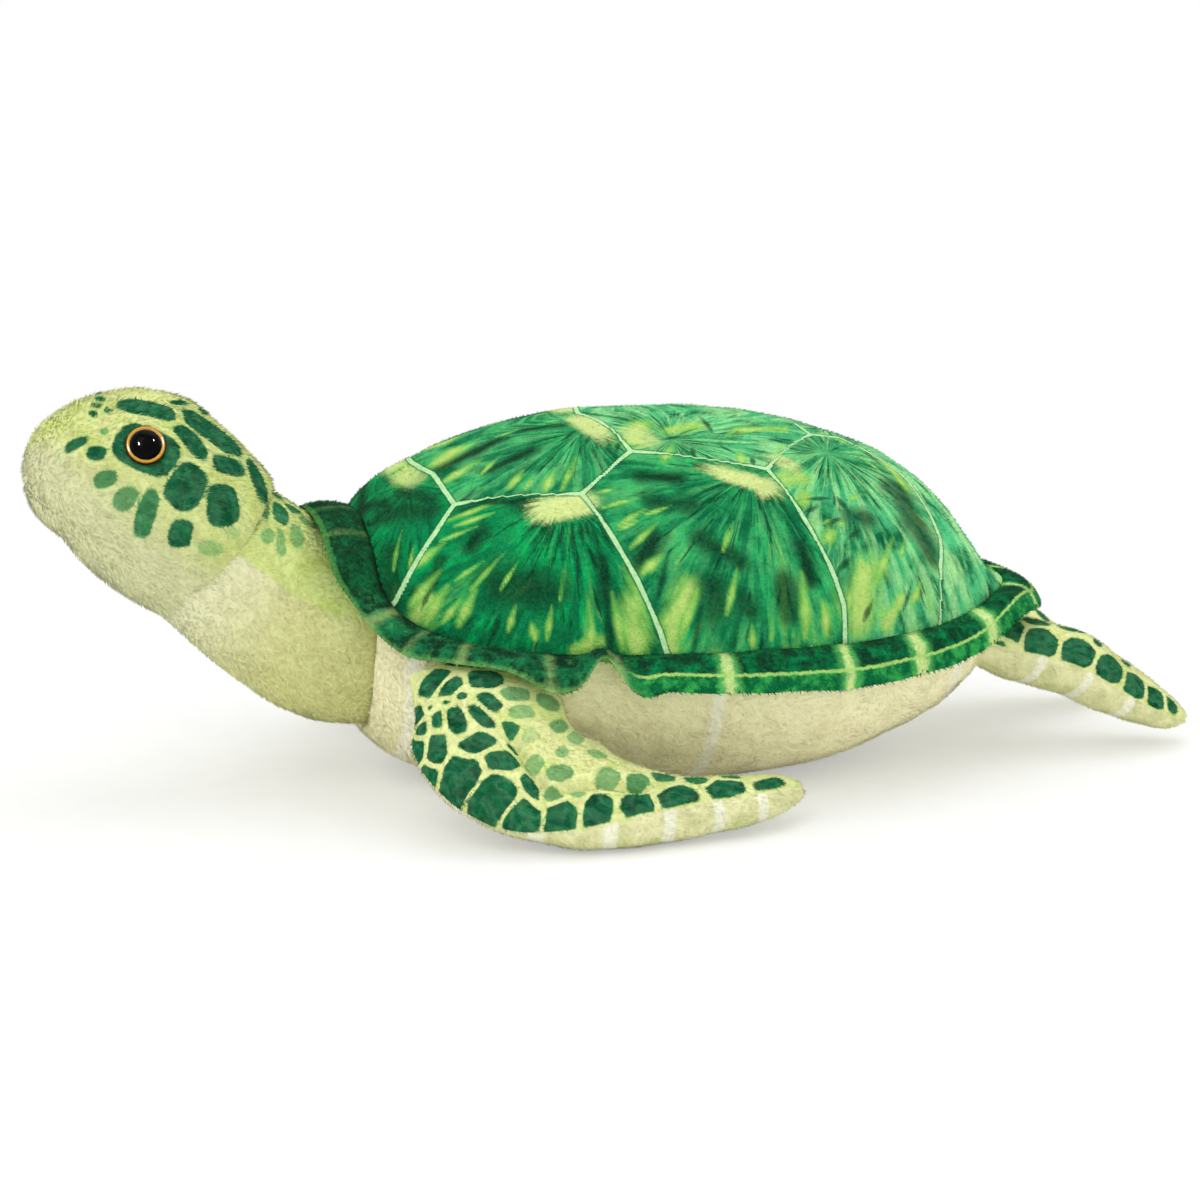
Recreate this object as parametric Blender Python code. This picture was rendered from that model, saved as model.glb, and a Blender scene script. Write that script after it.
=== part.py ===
"""A stuffed sea turtle that lies on its belly with its head raised.

Head towards -X, tail towards +X, back towards +Z, floor at Z = 0. All lengths are in metres.
Every stuffed form is a row of oval sections. Its covers are the fabric panels between the form's
surface and the same form drawn in by the fabric's thickness, and its filling is what they hold.
"""

import math
from typing import NamedTuple

import bmesh
import bpy
from mathutils import Matrix, Vector

# Fabric and running gaps
COVER_THICKNESS = 0.0025
SEAM_GAP = 0.0003
HINGE_CLEARANCE = 0.0006
OVERRUN = 0.004

# Torso: carapace above the side seam, belly below it
TORSO_LENGTH = 0.330
TORSO_FRONT_X = -0.142
TORSO_HALF_WIDTH = 0.112
SHELL_HEIGHT = 0.177
SHELL_ROUNDNESS = 2.15
BELLY_ROUNDNESS = 2.5
TORSO_AROUND = 20
# Along the torso: place, half width, side seam, ridge and underside
TORSO_SHARES = (
    (0.000, 0.480, 0.565, 0.757, 0.136),
    (0.042, 0.607, 0.497, 0.848, 0.071),
    (0.112, 0.768, 0.455, 0.912, 0.028),
    (0.227, 0.902, 0.437, 0.975, -0.019),
    (0.370, 0.973, 0.435, 1.003, -0.021),
    (0.530, 1.000, 0.435, 0.995, -0.021),
    (0.673, 0.946, 0.435, 0.945, 0.004),
    (0.794, 0.830, 0.440, 0.848, 0.052),
    (0.885, 0.660, 0.452, 0.732, 0.122),
    (0.952, 0.446, 0.463, 0.602, 0.205),
    (0.988, 0.232, 0.475, 0.525, 0.315),
    (1.000, 0.000, 0.482, 0.482, 0.482),
)

# Edge flap: two layers of plush sewn into the seam round the carapace
FLAP_WIDTH = 0.021
FLAP_LAYER = 0.0022
FLAP_CROWN = 0.002
FLAP_ROOT_GAP = 0.0005
# From the middle of the neck arch round to the tail: place along, reach in X, Y and Z, and how far
# the root's thickness leans outwards
FLAP_SHARES = (
    (0.000, -1.05, 0.00, 0.20, 0.00),
    (0.187, -1.02, -0.34, 0.14, 0.45),
    (0.312, -0.76, -0.60, -0.16, 0.35),
    (0.375, -0.50, -0.78, -0.22, 0.00),
    (0.437, -0.22, -0.88, -0.32, 0.00),
    (0.500, -0.06, -0.86, -0.44, 0.00),
    (0.600, 0.02, -0.62, -0.72, 0.00),
    (0.730, 0.10, -0.58, -0.80, 0.00),
    (0.880, 0.45, -0.58, -0.66, 0.00),
    (0.950, 0.80, -0.40, -0.48, 0.00),
    (1.000, 1.06, 0.00, -0.44, 0.00),
)

# Neck, which turns in the torso's front opening
NECK_STANDOFF = 0.008
NECK_HEIGHT_SHARE = 0.446
NECK_RUN = 0.065
NECK_RISE = 0.040
NECK_RADIUS = 0.050
NECK_AROUND = 16
NECK_ROOT_STEPS = 4
# From the root to the head seam: run, rise, lean in degrees, half width, height above and below
NECK_SHARES = (
    (0.00, 0.00, 0.0, 0.98, 1.00, 1.00),
    (0.20, 0.08, 12.0, 0.96, 0.93, 0.96),
    (0.46, 0.30, 24.0, 0.91, 0.85, 0.89),
    (0.74, 0.65, 33.0, 0.85, 0.82, 0.82),
    (1.00, 1.00, 38.0, 0.79, 0.76, 0.76),
)
NECK_CROWN_STEPS = 3

# Head, which nods on the neck's rounded end
HEAD_PIVOT_DEPTH = 0.025
HEAD_LENGTH = 0.0845
HEAD_RISE = 0.0365
HEAD_HALF_WIDTH = 0.0465
HEAD_HALF_HEIGHT = 0.052
HEAD_AROUND = 20
HEAD_TOP_SEAM = 5
HEAD_LEFT_CHIN_SEAM = 12
HEAD_RIGHT_CHIN_SEAM = 18
# From the neck seam to the snout: run, rise, lean in degrees, half width, height above and below
HEAD_SHARES = (
    (-0.05, -0.06, 38.0, 0.90, 0.85, 0.76),
    (0.18, 0.37, 32.0, 0.98, 0.96, 0.81),
    (0.36, 0.68, 25.0, 1.00, 1.00, 0.83),
    (0.55, 0.87, 18.0, 0.95, 0.90, 0.77),
    (0.72, 0.95, 12.0, 0.83, 0.75, 0.58),
    (0.87, 0.985, 8.0, 0.64, 0.58, 0.40),
    (0.96, 1.00, 4.0, 0.36, 0.31, 0.23),
    (1.00, 1.00, 0.0, 0.00, 0.00, 0.00),
)

# Eyes: a clear dome on an iris disc, whose shank passes the cover into a washer
# Where the eye sits: share of the head's rows and share of a turn round the head
EYE_ALONG_SHARE = 0.370
EYE_TURN_SHARE = 0.406
EYE_DISC_RADIUS = 0.0092
EYE_DISC_THICKNESS = 0.0012
EYE_DISC_DEPTH = 0.0012
EYE_DOME_RADIUS = 0.0086
EYE_DOME_HEIGHT = 0.0052
EYE_SHANK_RADIUS = 0.0022
EYE_SHANK_LENGTH = 0.012
EYE_WASHER_RADIUS = 0.0065
EYE_WASHER_THICKNESS = 0.0010
EYE_WASHER_SEAT = 0.0025
EYE_AROUND = 14
EYE_DOME_STEPS = 4

# Flippers, which turn on the edges of their armholes. A pivot's place is given along the torso,
# across its half width and up its height
FLIPPER_AROUND = 12
FLIPPER_ROOT_STEPS = 3
FRONT_PIVOT_SHARES = (0.127, 0.902, 0.316)
FRONT_LENGTH = 0.144
FRONT_HALF_WIDTH = 0.039
FRONT_HALF_THICKNESS = 0.017
# From the root to the tip: place in X, Y and Z, sweep, dive and roll in degrees, half width and
# half thickness. A sweep of 90 heads straight out from the body and of 0 straight aft
FRONT_SHARES = (
    (0.000, 0.000, 0.000, 90.0, 50.0, 0.0, 0.80, 0.88),
    (0.000, -0.070, -0.083, 83.0, 46.0, 2.0, 0.93, 0.97),
    (0.052, -0.142, -0.160, 68.0, 36.0, 8.0, 0.98, 1.00),
    (0.160, -0.205, -0.219, 47.0, 22.0, 16.0, 0.92, 0.98),
    (0.340, -0.243, -0.250, 23.0, 8.0, 23.0, 0.81, 0.87),
    (0.549, -0.260, -0.262, 7.0, 3.0, 26.0, 0.64, 0.71),
    (0.757, -0.254, -0.263, -2.0, 0.0, 26.0, 0.46, 0.56),
    (0.924, -0.228, -0.259, -9.0, -2.0, 24.0, 0.26, 0.36),
    (0.993, -0.212, -0.256, -12.0, -2.0, 22.0, 0.00, 0.00),
)
REAR_PIVOT_SHARES = (0.976, 0.339, 0.311)
REAR_LENGTH = 0.102
REAR_HALF_WIDTH = 0.026
REAR_HALF_THICKNESS = 0.0165
REAR_SHARES = (
    (0.000, 0.000, 0.000, 0.0, 19.0, 0.0, 0.77, 0.85),
    (0.163, 0.000, -0.056, 1.0, 21.0, 0.0, 0.92, 0.95),
    (0.356, -0.015, -0.138, 4.0, 25.0, 2.0, 1.00, 0.98),
    (0.558, -0.034, -0.240, 5.0, 27.0, 4.0, 0.88, 0.86),
    (0.750, -0.053, -0.332, 5.0, 25.0, 4.0, 0.66, 0.66),
    (0.894, -0.065, -0.392, 5.0, 20.0, 4.0, 0.38, 0.42),
    (0.980, -0.071, -0.418, 5.0, 15.0, 4.0, 0.00, 0.00),
)

NECK_SOCKET_AROUND = 20
HEAD_SOCKET_AROUND = 16
ARMHOLE_AROUND = 12
UP = Vector((0.0, 0.0, 1.0))
ACROSS = Vector((0.0, 1.0, 0.0))


class Section(NamedTuple):
    """One oval cut through a stuffed form."""

    centre: Vector
    side: Vector
    up: Vector
    width: float
    upper: float
    lower: float


def clear_scene():
    for obj in list(bpy.data.objects):
        bpy.data.objects.remove(obj, do_unlink=True)


def fabric(name, colour, roughness, metallic=0.0):
    material = bpy.data.materials.new(name)
    material.use_nodes = True
    shader = material.node_tree.nodes["Principled BSDF"]
    shader.inputs["Base Color"].default_value = (*colour, 1.0)
    shader.inputs["Roughness"].default_value = roughness
    shader.inputs["Metallic"].default_value = metallic
    material.diffuse_color = (*colour, 1.0)
    return material


def signed_power(value, power):
    return math.copysign(abs(value) ** power, value)


def ring(section, inset, around, upper_roundness=2.0, lower_roundness=2.0):
    """Points round the section, from its side over its top, drawn in by the inset."""
    points = []
    for index in range(around):
        angle = math.tau * index / around
        across = math.cos(angle)
        above = math.sin(angle)
        roundness = upper_roundness if above >= 0 else lower_roundness
        height = section.upper if above >= 0 else section.lower
        reach = signed_power(across, 2 / roundness) * max(section.width - inset, 0.0)
        rise = signed_power(above, 2 / roundness) * max(height - inset, 0.0)
        points.append(section.centre + section.side * reach + section.up * rise)
    return points


def add_object(name, mesh_points, faces, material, origin):
    mesh = bpy.data.meshes.new(name)
    mesh.from_pydata([point - origin for point in mesh_points], [], faces)
    shape = bmesh.new()
    shape.from_mesh(mesh)
    bmesh.ops.remove_doubles(shape, verts=shape.verts, dist=SEAM_GAP / 100)
    bmesh.ops.dissolve_degenerate(shape, edges=shape.edges, dist=SEAM_GAP / 100)
    bmesh.ops.recalc_face_normals(shape, faces=shape.faces)
    shape.to_mesh(mesh)
    shape.free()
    mesh.shade_smooth()
    mesh.set_sharp_from_angle(angle=math.radians(40))
    mesh.materials.append(material)
    obj = bpy.data.objects.new(name, mesh)
    obj.location = origin
    bpy.context.scene.collection.objects.link(obj)
    return obj


def grid_faces(start, rows, columns):
    """Triangles over a grid of points stored row after row from start, all split along the same diagonal."""
    faces = []
    for row in range(rows - 1):
        for column in range(columns - 1):
            corner = start + row * columns + column
            opposite = corner + columns + 1
            faces.append((corner, corner + 1, opposite))
            faces.append((corner, opposite, opposite - 1))
    return faces


def border_edges(rows, columns, looped):
    """Pairs of neighbouring places along the grid's free edges."""
    edges = []
    for row in range(rows - 1):
        for place in (row * columns, row * columns + columns - 1):
            edges.append((place, place + columns))
    if not looped:
        for start in (0, (rows - 1) * columns):
            edges += [(start + column, start + column + 1) for column in range(columns - 1)]
    return edges


def add_sheet(name, outer, inner, material, origin, looped=False):
    """A closed sheet between two grids of points that have the same rows and columns."""
    if looped:
        outer = outer + outer[:1]
        inner = inner + inner[:1]
    rows = len(outer)
    columns = len(outer[0])
    count = rows * columns
    points = [point for row in outer for point in row] + [point for row in inner for point in row]
    faces = grid_faces(0, rows, columns) + grid_faces(count, rows, columns)
    for here, there in border_edges(rows, columns, looped):
        faces.append((here, there, there + count, here + count))
    return add_object(name, points, faces, material, origin)


def panel_rows(rings, first, last):
    """The part of each ring from one seam to the next, clear of both seams by half the gap."""
    rows = []
    for points in rings:
        around = len(points)
        row = [points[index % around].copy() for index in range(first, last + 1)]
        if (row[0] - row[-1]).length > SEAM_GAP / 100:
            for end, inside in ((0, 1), (-1, -2)):
                row[end] += (row[inside] - row[end]).normalized() * (SEAM_GAP / 2)
        rows.append(row)
    for end, beside in ((0, 1), (-1, -2)):
        draw_in_point(rows[end], rows[beside])
    return rows


def draw_in_point(row, beside):
    """Moves a panel's pointed end, where the row is one place, off its neighbours' pointed ends."""
    if (row[0] - row[len(row) // 2]).length < SEAM_GAP / 100:
        middle = beside[len(beside) // 2]
        edges = (beside[0] + beside[-1]) / 2
        shift = (middle - edges).normalized() * SEAM_GAP
        for point in row:
            point += shift


def add_panel(name, outer, inner, first, last, material, origin):
    return add_sheet(
        name, panel_rows(outer, first, last), panel_rows(inner, first, last), material, origin
    )


def add_filling(name, rings, material, origin):
    around = len(rings[0])
    closed = [ring_points + ring_points[:1] for ring_points in rings]
    points = [point for row in closed for point in row]
    faces = grid_faces(0, len(rings), around + 1)
    faces.append(tuple(range(around))[::-1])
    faces.append(tuple((len(rings) - 1) * (around + 1) + index for index in range(around)))
    return add_object(name, points, faces, material, origin)


def add_cutter(name, points, faces):
    cutter = add_object(name, points, faces, bpy.data.materials["cutter"], Vector())
    cutter.hide_render = True
    cutter.display_type = "WIRE"
    return cutter


def cut(obj, *cutters):
    for cutter in cutters:
        modifier = obj.modifiers.new("cut by " + cutter.name, "BOOLEAN")
        modifier.operation = "DIFFERENCE"
        modifier.object = cutter


def turned(profile, centre, axis, around):
    """Points and faces of a profile of (height along the axis, radius) turned about that axis."""
    axis = axis.normalized()
    first = axis.orthogonal().normalized()
    second = axis.cross(first)
    points = []
    for height, radius in profile:
        for index in range(around):
            angle = math.tau * index / around
            outwards = first * math.cos(angle) + second * math.sin(angle)
            points.append(centre + axis * height + outwards * radius)
    faces = []
    for row in range(len(profile) - 1):
        for index in range(around):
            beside = (index + 1) % around
            start = row * around
            faces.append((start + index, start + beside, start + around + beside, start + around + index))
    faces.append(tuple(range(around))[::-1])
    faces.append(tuple((len(profile) - 1) * around + index for index in range(around)))
    return points, faces


def socket_cutter(name, centre, axes, radii, around):
    """An oval ball round a hinge, whose facets stay outside the clearance round what turns in it."""
    loosen = 1 / math.cos(math.pi / around) ** 2
    shape = bmesh.new()
    bmesh.ops.create_uvsphere(shape, u_segments=around, v_segments=around // 2, radius=1.0)
    points = []
    for vert in shape.verts:
        offset = Vector()
        for axis, radius, amount in zip(axes, radii, vert.co):
            offset += axis * (amount * (radius + HINGE_CLEARANCE) * loosen)
        points.append(centre + offset)
    faces = [tuple(vert.index for vert in face.verts) for face in shape.faces]
    shape.free()
    return add_cutter(name, points, faces)


def torso_rings(inset):
    """Sections from the neck opening, which is open, to the round tail end."""
    length = TORSO_LENGTH - inset
    rings = []
    for place, width, seam, ridge, underside in TORSO_SHARES:
        section = Section(
            Vector((TORSO_FRONT_X + place * length, 0.0, seam * SHELL_HEIGHT)),
            ACROSS,
            UP,
            width * TORSO_HALF_WIDTH,
            (ridge - seam) * SHELL_HEIGHT,
            (seam - underside) * SHELL_HEIGHT,
        )
        points = ring(section, inset, TORSO_AROUND, SHELL_ROUNDNESS, BELLY_ROUNDNESS)
        # The belly lies flat on the floor
        for point in points:
            point.z = max(point.z, inset)
        rings.append(points)
    return rings


def leaning_sections(rows, start, reach, inset):
    """Sections in the middle plane, each leaning back by its angle, from rows of shares."""
    run, rise, half_width, half_height = reach
    sections = []
    for along, above, lean, width, upper, lower in rows:
        centre = start + Vector((-along * run, 0.0, above * rise))
        if width == 0:
            centre.x += inset
        angle = math.radians(lean)
        up = Vector((math.sin(angle), 0.0, math.cos(angle)))
        sections.append(
            Section(
                centre, ACROSS, up, width * half_width, upper * half_height, lower * half_height
            )
        )
    return sections


def neck_pivot():
    return Vector((TORSO_FRONT_X - NECK_STANDOFF, 0.0, NECK_HEIGHT_SHARE * SHELL_HEIGHT))


def neck_sections(inset):
    reach = (NECK_RUN, NECK_RISE, NECK_RADIUS, NECK_RADIUS)
    return leaning_sections(NECK_SHARES, neck_pivot(), reach, inset)


def head_seam():
    """Centre, heading and half height of the seam between neck and head."""
    last = neck_sections(0.0)[-1]
    heading = Vector((-last.up.z, 0.0, last.up.x))
    return last.centre, heading, last


def head_pivot():
    centre, heading, _ = head_seam()
    return centre - heading * HEAD_PIVOT_DEPTH


def crown_radii():
    """Radii of the neck's rounded end about the head's hinge, along the neck and across it."""
    last = head_seam()[2]
    radius = math.hypot(last.upper, HEAD_PIVOT_DEPTH)
    return radius, last.width * radius / last.upper


def neck_rings(inset):
    """A round root about the neck's hinge, the neck, and a round end about the head's hinge."""
    sections = neck_sections(0.0)
    root = sections[0]
    backwards = Vector((1.0, 0.0, 0.0))
    rings = []
    for step in range(NECK_ROOT_STEPS):
        angle = math.pi / 2 * (1 - step / NECK_ROOT_STEPS)
        centre = root.centre + backwards * (math.sin(angle) * (root.upper - inset))
        size = math.cos(angle)
        section = root._replace(
            centre=centre,
            width=(root.width - inset) * size,
            upper=(root.upper - inset) * size,
            lower=(root.lower - inset) * size,
        )
        rings.append(ring(section, 0.0, NECK_AROUND))
    rings += [ring(section, inset, NECK_AROUND) for section in sections]
    centre, heading, last = head_seam()
    radius, side_radius = crown_radii()
    start = math.asin(HEAD_PIVOT_DEPTH / radius)
    for step in range(1, NECK_CROWN_STEPS + 1):
        angle = start + (math.pi / 2 - start) * step / NECK_CROWN_STEPS
        size = math.cos(angle)
        section = last._replace(
            centre=head_pivot() + heading * (math.sin(angle) * (radius - inset)),
            width=(side_radius - inset) * size,
            upper=(radius - inset) * size,
            lower=(radius - inset) * size,
        )
        rings.append(ring(section, 0.0, NECK_AROUND))
    return rings


def head_rings(inset):
    start = head_seam()[0]
    reach = (HEAD_LENGTH, HEAD_RISE, HEAD_HALF_WIDTH, HEAD_HALF_HEIGHT)
    sections = leaning_sections(HEAD_SHARES, start, reach, inset)
    return [ring(section, inset, HEAD_AROUND) for section in sections]


def heading_at(sweep, dive, mirror):
    level = math.cos(dive)
    return Vector((math.cos(sweep) * level, -math.sin(sweep) * level * mirror, -math.sin(dive)))


def flipper_pivot(shares, mirror):
    along, across, above = shares
    return Vector(
        (
            TORSO_FRONT_X + along * TORSO_LENGTH,
            -across * TORSO_HALF_WIDTH * mirror,
            above * SHELL_HEIGHT,
        )
    )


def flipper_rings(shares, hinge, sizes, mirror, inset):
    """A round root about the hinge, then the flipper out to its round tip."""
    length, half_width, half_thickness = sizes
    rings = []
    for x, y, z, sweep, dive, roll, width, thickness in shares:
        centre = hinge + Vector((x, y * mirror, z)) * length
        heading = heading_at(math.radians(sweep), math.radians(dive), mirror)
        if width == 0:
            centre -= heading * inset
        side = heading.cross(UP).normalized()
        up = side.cross(heading)
        turn = Matrix.Rotation(math.radians(roll) * mirror, 3, heading)
        half = thickness * half_thickness
        section = Section(centre, turn @ side, turn @ up, width * half_width, half, half)
        if not rings:
            rings += flipper_root_rings(section, heading, inset)
        rings.append(ring(section, inset, FLIPPER_AROUND))
    return rings


def flipper_root_rings(section, heading, inset):
    rings = []
    for step in range(FLIPPER_ROOT_STEPS):
        angle = math.pi / 2 * (1 - step / FLIPPER_ROOT_STEPS)
        size = math.cos(angle)
        root = section._replace(
            centre=section.centre - heading * (math.sin(angle) * (section.upper - inset)),
            width=(section.width - inset) * size,
            upper=(section.upper - inset) * size,
            lower=(section.lower - inset) * size,
        )
        rings.append(ring(root, 0.0, FLIPPER_AROUND))
    return rings


def flap_root_points():
    """Half the seam under the flap: from the middle of the neck arch down its port side and aft."""
    rings = torso_rings(0.0)
    quarter = TORSO_AROUND // 4
    arch = [rings[0][index] for index in range(quarter, 2 * quarter)]
    return arch + [points[2 * quarter] for points in rings]


def flap_shape():
    """Root, middle and edge of the flap with the directions of its thickness, over its whole length."""
    roots = flap_root_points()
    loop = roots + [flipped(root) for root in roots[-2:0:-1]]
    half = []
    for index, root in enumerate(roots):
        share = index / (len(roots) - 1)
        reach_x, reach_y, reach_z, lean = between_rows(FLAP_SHARES, share)
        reach = Vector((reach_x, reach_y, reach_z)) * FLAP_WIDTH
        along = loop[(index + 1) % len(loop)] - loop[index - 1]
        root_up = Vector((0.0, -lean, math.sqrt(1 - lean**2)))
        outwards = along.cross(root_up).normalized()
        normal = along.cross(reach).normalized()
        if normal.dot(root_up) < 0:
            normal = -normal
        if outwards.dot(reach) < 0:
            outwards = -outwards
        start = root + outwards * FLAP_ROOT_GAP
        middle = start + reach / 2 + normal * FLAP_CROWN
        half.append(((start, root_up), (middle, normal), (start + reach, normal)))
    mirrored = [tuple((flipped(a), flipped(b)) for a, b in row) for row in half[1:-1]]
    return half + mirrored[::-1]


def flipped(vector):
    return Vector((vector.x, -vector.y, vector.z))


def between_rows(rows, share):
    """The columns after the first, read from the rows at this value of the first column."""
    for before, after in zip(rows, rows[1:]):
        if share <= after[0]:
            part = (share - before[0]) / (after[0] - before[0])
            part = part * part * (3 - 2 * part)
            return [a + (b - a) * part for a, b in zip(before[1:], after[1:])]
    return list(rows[-1][1:])


def add_flap_layer(name, low, high, material):
    """One closed layer of the flap between two heights from its middle surface."""
    rows = flap_shape()
    outer = [[place + up * high for place, up in row] for row in rows]
    inner = [[place + up * low for place, up in row] for row in rows]
    return add_sheet(name, outer, inner, material, Vector(), looped=True)


def make_torso(materials, cutters):
    outer = torso_rings(0.0)
    inner = torso_rings(COVER_THICKNESS)
    half = TORSO_AROUND // 2
    covers = (
        add_panel("carapace_cover", outer, inner, 0, half, materials["shell"], Vector()),
        add_panel("belly_cover", outer, inner, half, 2 * half, materials["cream"], Vector()),
    )
    filling = add_filling(
        "torso_filling", torso_rings(COVER_THICKNESS + SEAM_GAP), materials["filling"], Vector()
    )
    for piece in (*covers, filling):
        cut(piece, *cutters)
    add_flap_layer("edge_flap_top", SEAM_GAP / 2, SEAM_GAP / 2 + FLAP_LAYER, materials["shell"])
    add_flap_layer("edge_flap_lining", -SEAM_GAP / 2 - FLAP_LAYER, -SEAM_GAP / 2, materials["lining"])


def make_neck(materials):
    outer = neck_rings(0.0)
    inner = neck_rings(COVER_THICKNESS)
    half = NECK_AROUND // 2
    pivot = neck_pivot()
    add_panel("neck_top_cover", outer, inner, 0, half, materials["skin"], pivot)
    add_panel("throat_cover", outer, inner, half, 2 * half, materials["cream"], pivot)
    filling = neck_rings(COVER_THICKNESS + SEAM_GAP)
    add_filling("neck_filling", filling, materials["filling"], pivot)


def head_cutters():
    """The neck's rounded end with its clearance, and all that lies behind the seam."""
    centre, heading, last = head_seam()
    radius, side_radius = crown_radii()
    socket = socket_cutter(
        "head_socket",
        head_pivot(),
        (last.up, heading, ACROSS),
        (radius, radius, side_radius),
        HEAD_SOCKET_AROUND,
    )
    behind = HEAD_LENGTH
    profile = ((-behind, behind), (0.0, behind))
    points, faces = turned(profile, centre, heading, EYE_AROUND)
    return socket, add_cutter("behind_head_seam", points, faces)


def eye_frame(mirror):
    """Where the eye sits on the head's cover, and which way it faces."""
    rings = head_rings(0.0)
    along = EYE_ALONG_SHARE * (len(rings) - 1)
    turn = EYE_TURN_SHARE * HEAD_AROUND
    row = math.floor(along)
    column = math.floor(turn)
    corners = [rings[row + a][column + b] for a in (0, 1) for b in (0, 1)]
    near = corners[0].lerp(corners[1], turn - column)
    far = corners[2].lerp(corners[3], turn - column)
    facing = (corners[3] - corners[0]).cross(corners[2] - corners[1]).normalized()
    place = near.lerp(far, along - row)
    if facing.y > 0:
        facing = -facing
    return (place, facing) if mirror > 0 else (flipped(place), flipped(facing))


def washer_depth():
    return COVER_THICKNESS + EYE_WASHER_SEAT


def eye_cutters(side, mirror):
    """What the eye's disc and shank take out of the cover, and its washer and shank out of the filling."""
    place, facing = eye_frame(mirror)
    seat = -EYE_DISC_DEPTH - SEAM_GAP
    bore = EYE_SHANK_RADIUS + SEAM_GAP
    bottom = -EYE_SHANK_LENGTH - SEAM_GAP
    seat_radius = EYE_DISC_RADIUS + SEAM_GAP
    profile = ((bottom, bore), (seat, bore), (seat, seat_radius), (EYE_DOME_HEIGHT, seat_radius))
    in_cover = add_cutter(side + "_eye_seat", *turned(profile, place, facing, EYE_AROUND))
    low = -washer_depth() - EYE_WASHER_THICKNESS - SEAM_GAP
    pocket = EYE_WASHER_RADIUS + SEAM_GAP
    profile = ((bottom, bore), (low, bore), (low, pocket), (OVERRUN, pocket))
    return in_cover, add_cutter(side + "_eye_pocket", *turned(profile, place, facing, EYE_AROUND))


def make_eye(side, mirror, materials, origin):
    place, facing = eye_frame(mirror)
    base = SEAM_GAP
    dome = []
    for step in range(EYE_DOME_STEPS + 1):
        angle = math.pi / 2 * step / EYE_DOME_STEPS
        dome.append((base + EYE_DOME_HEIGHT * math.sin(angle), EYE_DOME_RADIUS * math.cos(angle)))
    points, faces = turned(dome, place, facing, EYE_AROUND)
    add_object(side + "_eye_dome", points, faces, materials["clear"], origin)
    bottom = EYE_DISC_THICKNESS - EYE_DISC_DEPTH
    disc = (
        (-EYE_SHANK_LENGTH, EYE_SHANK_RADIUS),
        (bottom - EYE_DISC_THICKNESS, EYE_SHANK_RADIUS),
        (bottom - EYE_DISC_THICKNESS, EYE_DISC_RADIUS),
        (bottom, EYE_DISC_RADIUS),
    )
    points, faces = turned(disc, place, facing, EYE_AROUND)
    add_object(side + "_eye_iris", points, faces, materials["iris"], origin)
    top = -washer_depth()
    low = top - EYE_WASHER_THICKNESS
    bore = EYE_SHANK_RADIUS + SEAM_GAP
    washer = ((low, bore), (low, EYE_WASHER_RADIUS), (top, EYE_WASHER_RADIUS), (top, bore))
    points, faces = turned(washer, place, facing, EYE_AROUND)
    faces = faces[:-2]
    last = 3 * EYE_AROUND
    for index in range(EYE_AROUND):
        beside = (index + 1) % EYE_AROUND
        faces.append((last + index, last + beside, beside, index))
    add_object(side + "_eye_washer", points, faces, materials["washer"], origin)


def make_head(materials):
    outer = head_rings(0.0)
    inner = head_rings(COVER_THICKNESS)
    pivot = head_pivot()
    socket, behind = head_cutters()
    left_seat, left_pocket = eye_cutters("left", 1)
    right_seat, right_pocket = eye_cutters("right", -1)
    top = HEAD_TOP_SEAM
    left_chin = HEAD_LEFT_CHIN_SEAM
    right_chin = HEAD_RIGHT_CHIN_SEAM
    left = add_panel("head_left_cover", outer, inner, top, left_chin, materials["skin"], pivot)
    chin = add_panel("chin_cover", outer, inner, left_chin, right_chin, materials["cream"], pivot)
    right = add_panel(
        "head_right_cover", outer, inner, right_chin, top + HEAD_AROUND, materials["skin"], pivot
    )
    filling_rings = head_rings(COVER_THICKNESS + SEAM_GAP)
    filling = add_filling("head_filling", filling_rings, materials["filling"], pivot)
    cut(left, socket, behind, left_seat)
    cut(right, socket, behind, right_seat)
    cut(chin, socket, behind)
    cut(filling, socket, behind, left_pocket, right_pocket)
    make_eye("left", 1, materials, pivot)
    make_eye("right", -1, materials, pivot)


def make_flipper(name, shares, hinge, sizes, mirror, materials):
    """A top and an underside panel round their filling. Returns the cutter for its armhole."""
    outer = flipper_rings(shares, hinge, sizes, mirror, 0.0)
    inner = flipper_rings(shares, hinge, sizes, mirror, COVER_THICKNESS)
    half = FLIPPER_AROUND // 2
    add_panel(name + "_top", outer, inner, 0, half, materials["skin"], hinge)
    add_panel(name + "_underside", outer, inner, half, 2 * half, materials["cream"], hinge)
    filling = flipper_rings(shares, hinge, sizes, mirror, COVER_THICKNESS + SEAM_GAP)
    add_filling(name + "_filling", filling, materials["filling"], hinge)
    sweep, dive, _, width, thickness = shares[0][3:]
    heading = heading_at(math.radians(sweep), math.radians(dive), mirror)
    side = heading.cross(UP).normalized()
    radius = thickness * sizes[2]
    return socket_cutter(
        name + "_armhole",
        hinge,
        (heading, side.cross(heading), side),
        (radius, radius, width * sizes[1]),
        ARMHOLE_AROUND,
    )


def make_materials():
    bpy.data.materials.new("cutter")
    return {
        "shell": fabric("printed_green_plush", (0.035, 0.225, 0.060), 0.92),
        "lining": fabric("yellow_green_plush", (0.330, 0.470, 0.130), 0.92),
        "skin": fabric("spotted_plush", (0.560, 0.680, 0.260), 0.92),
        "cream": fabric("cream_plush", (0.790, 0.790, 0.520), 0.92),
        "filling": fabric("polyester_filling", (0.850, 0.850, 0.830), 0.97),
        "clear": fabric("clear_acrylic", (0.050, 0.035, 0.020), 0.05),
        "iris": fabric("amber_iris", (0.620, 0.210, 0.020), 0.25),
        "washer": fabric("white_washer", (0.800, 0.800, 0.780), 0.45),
    }


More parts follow.
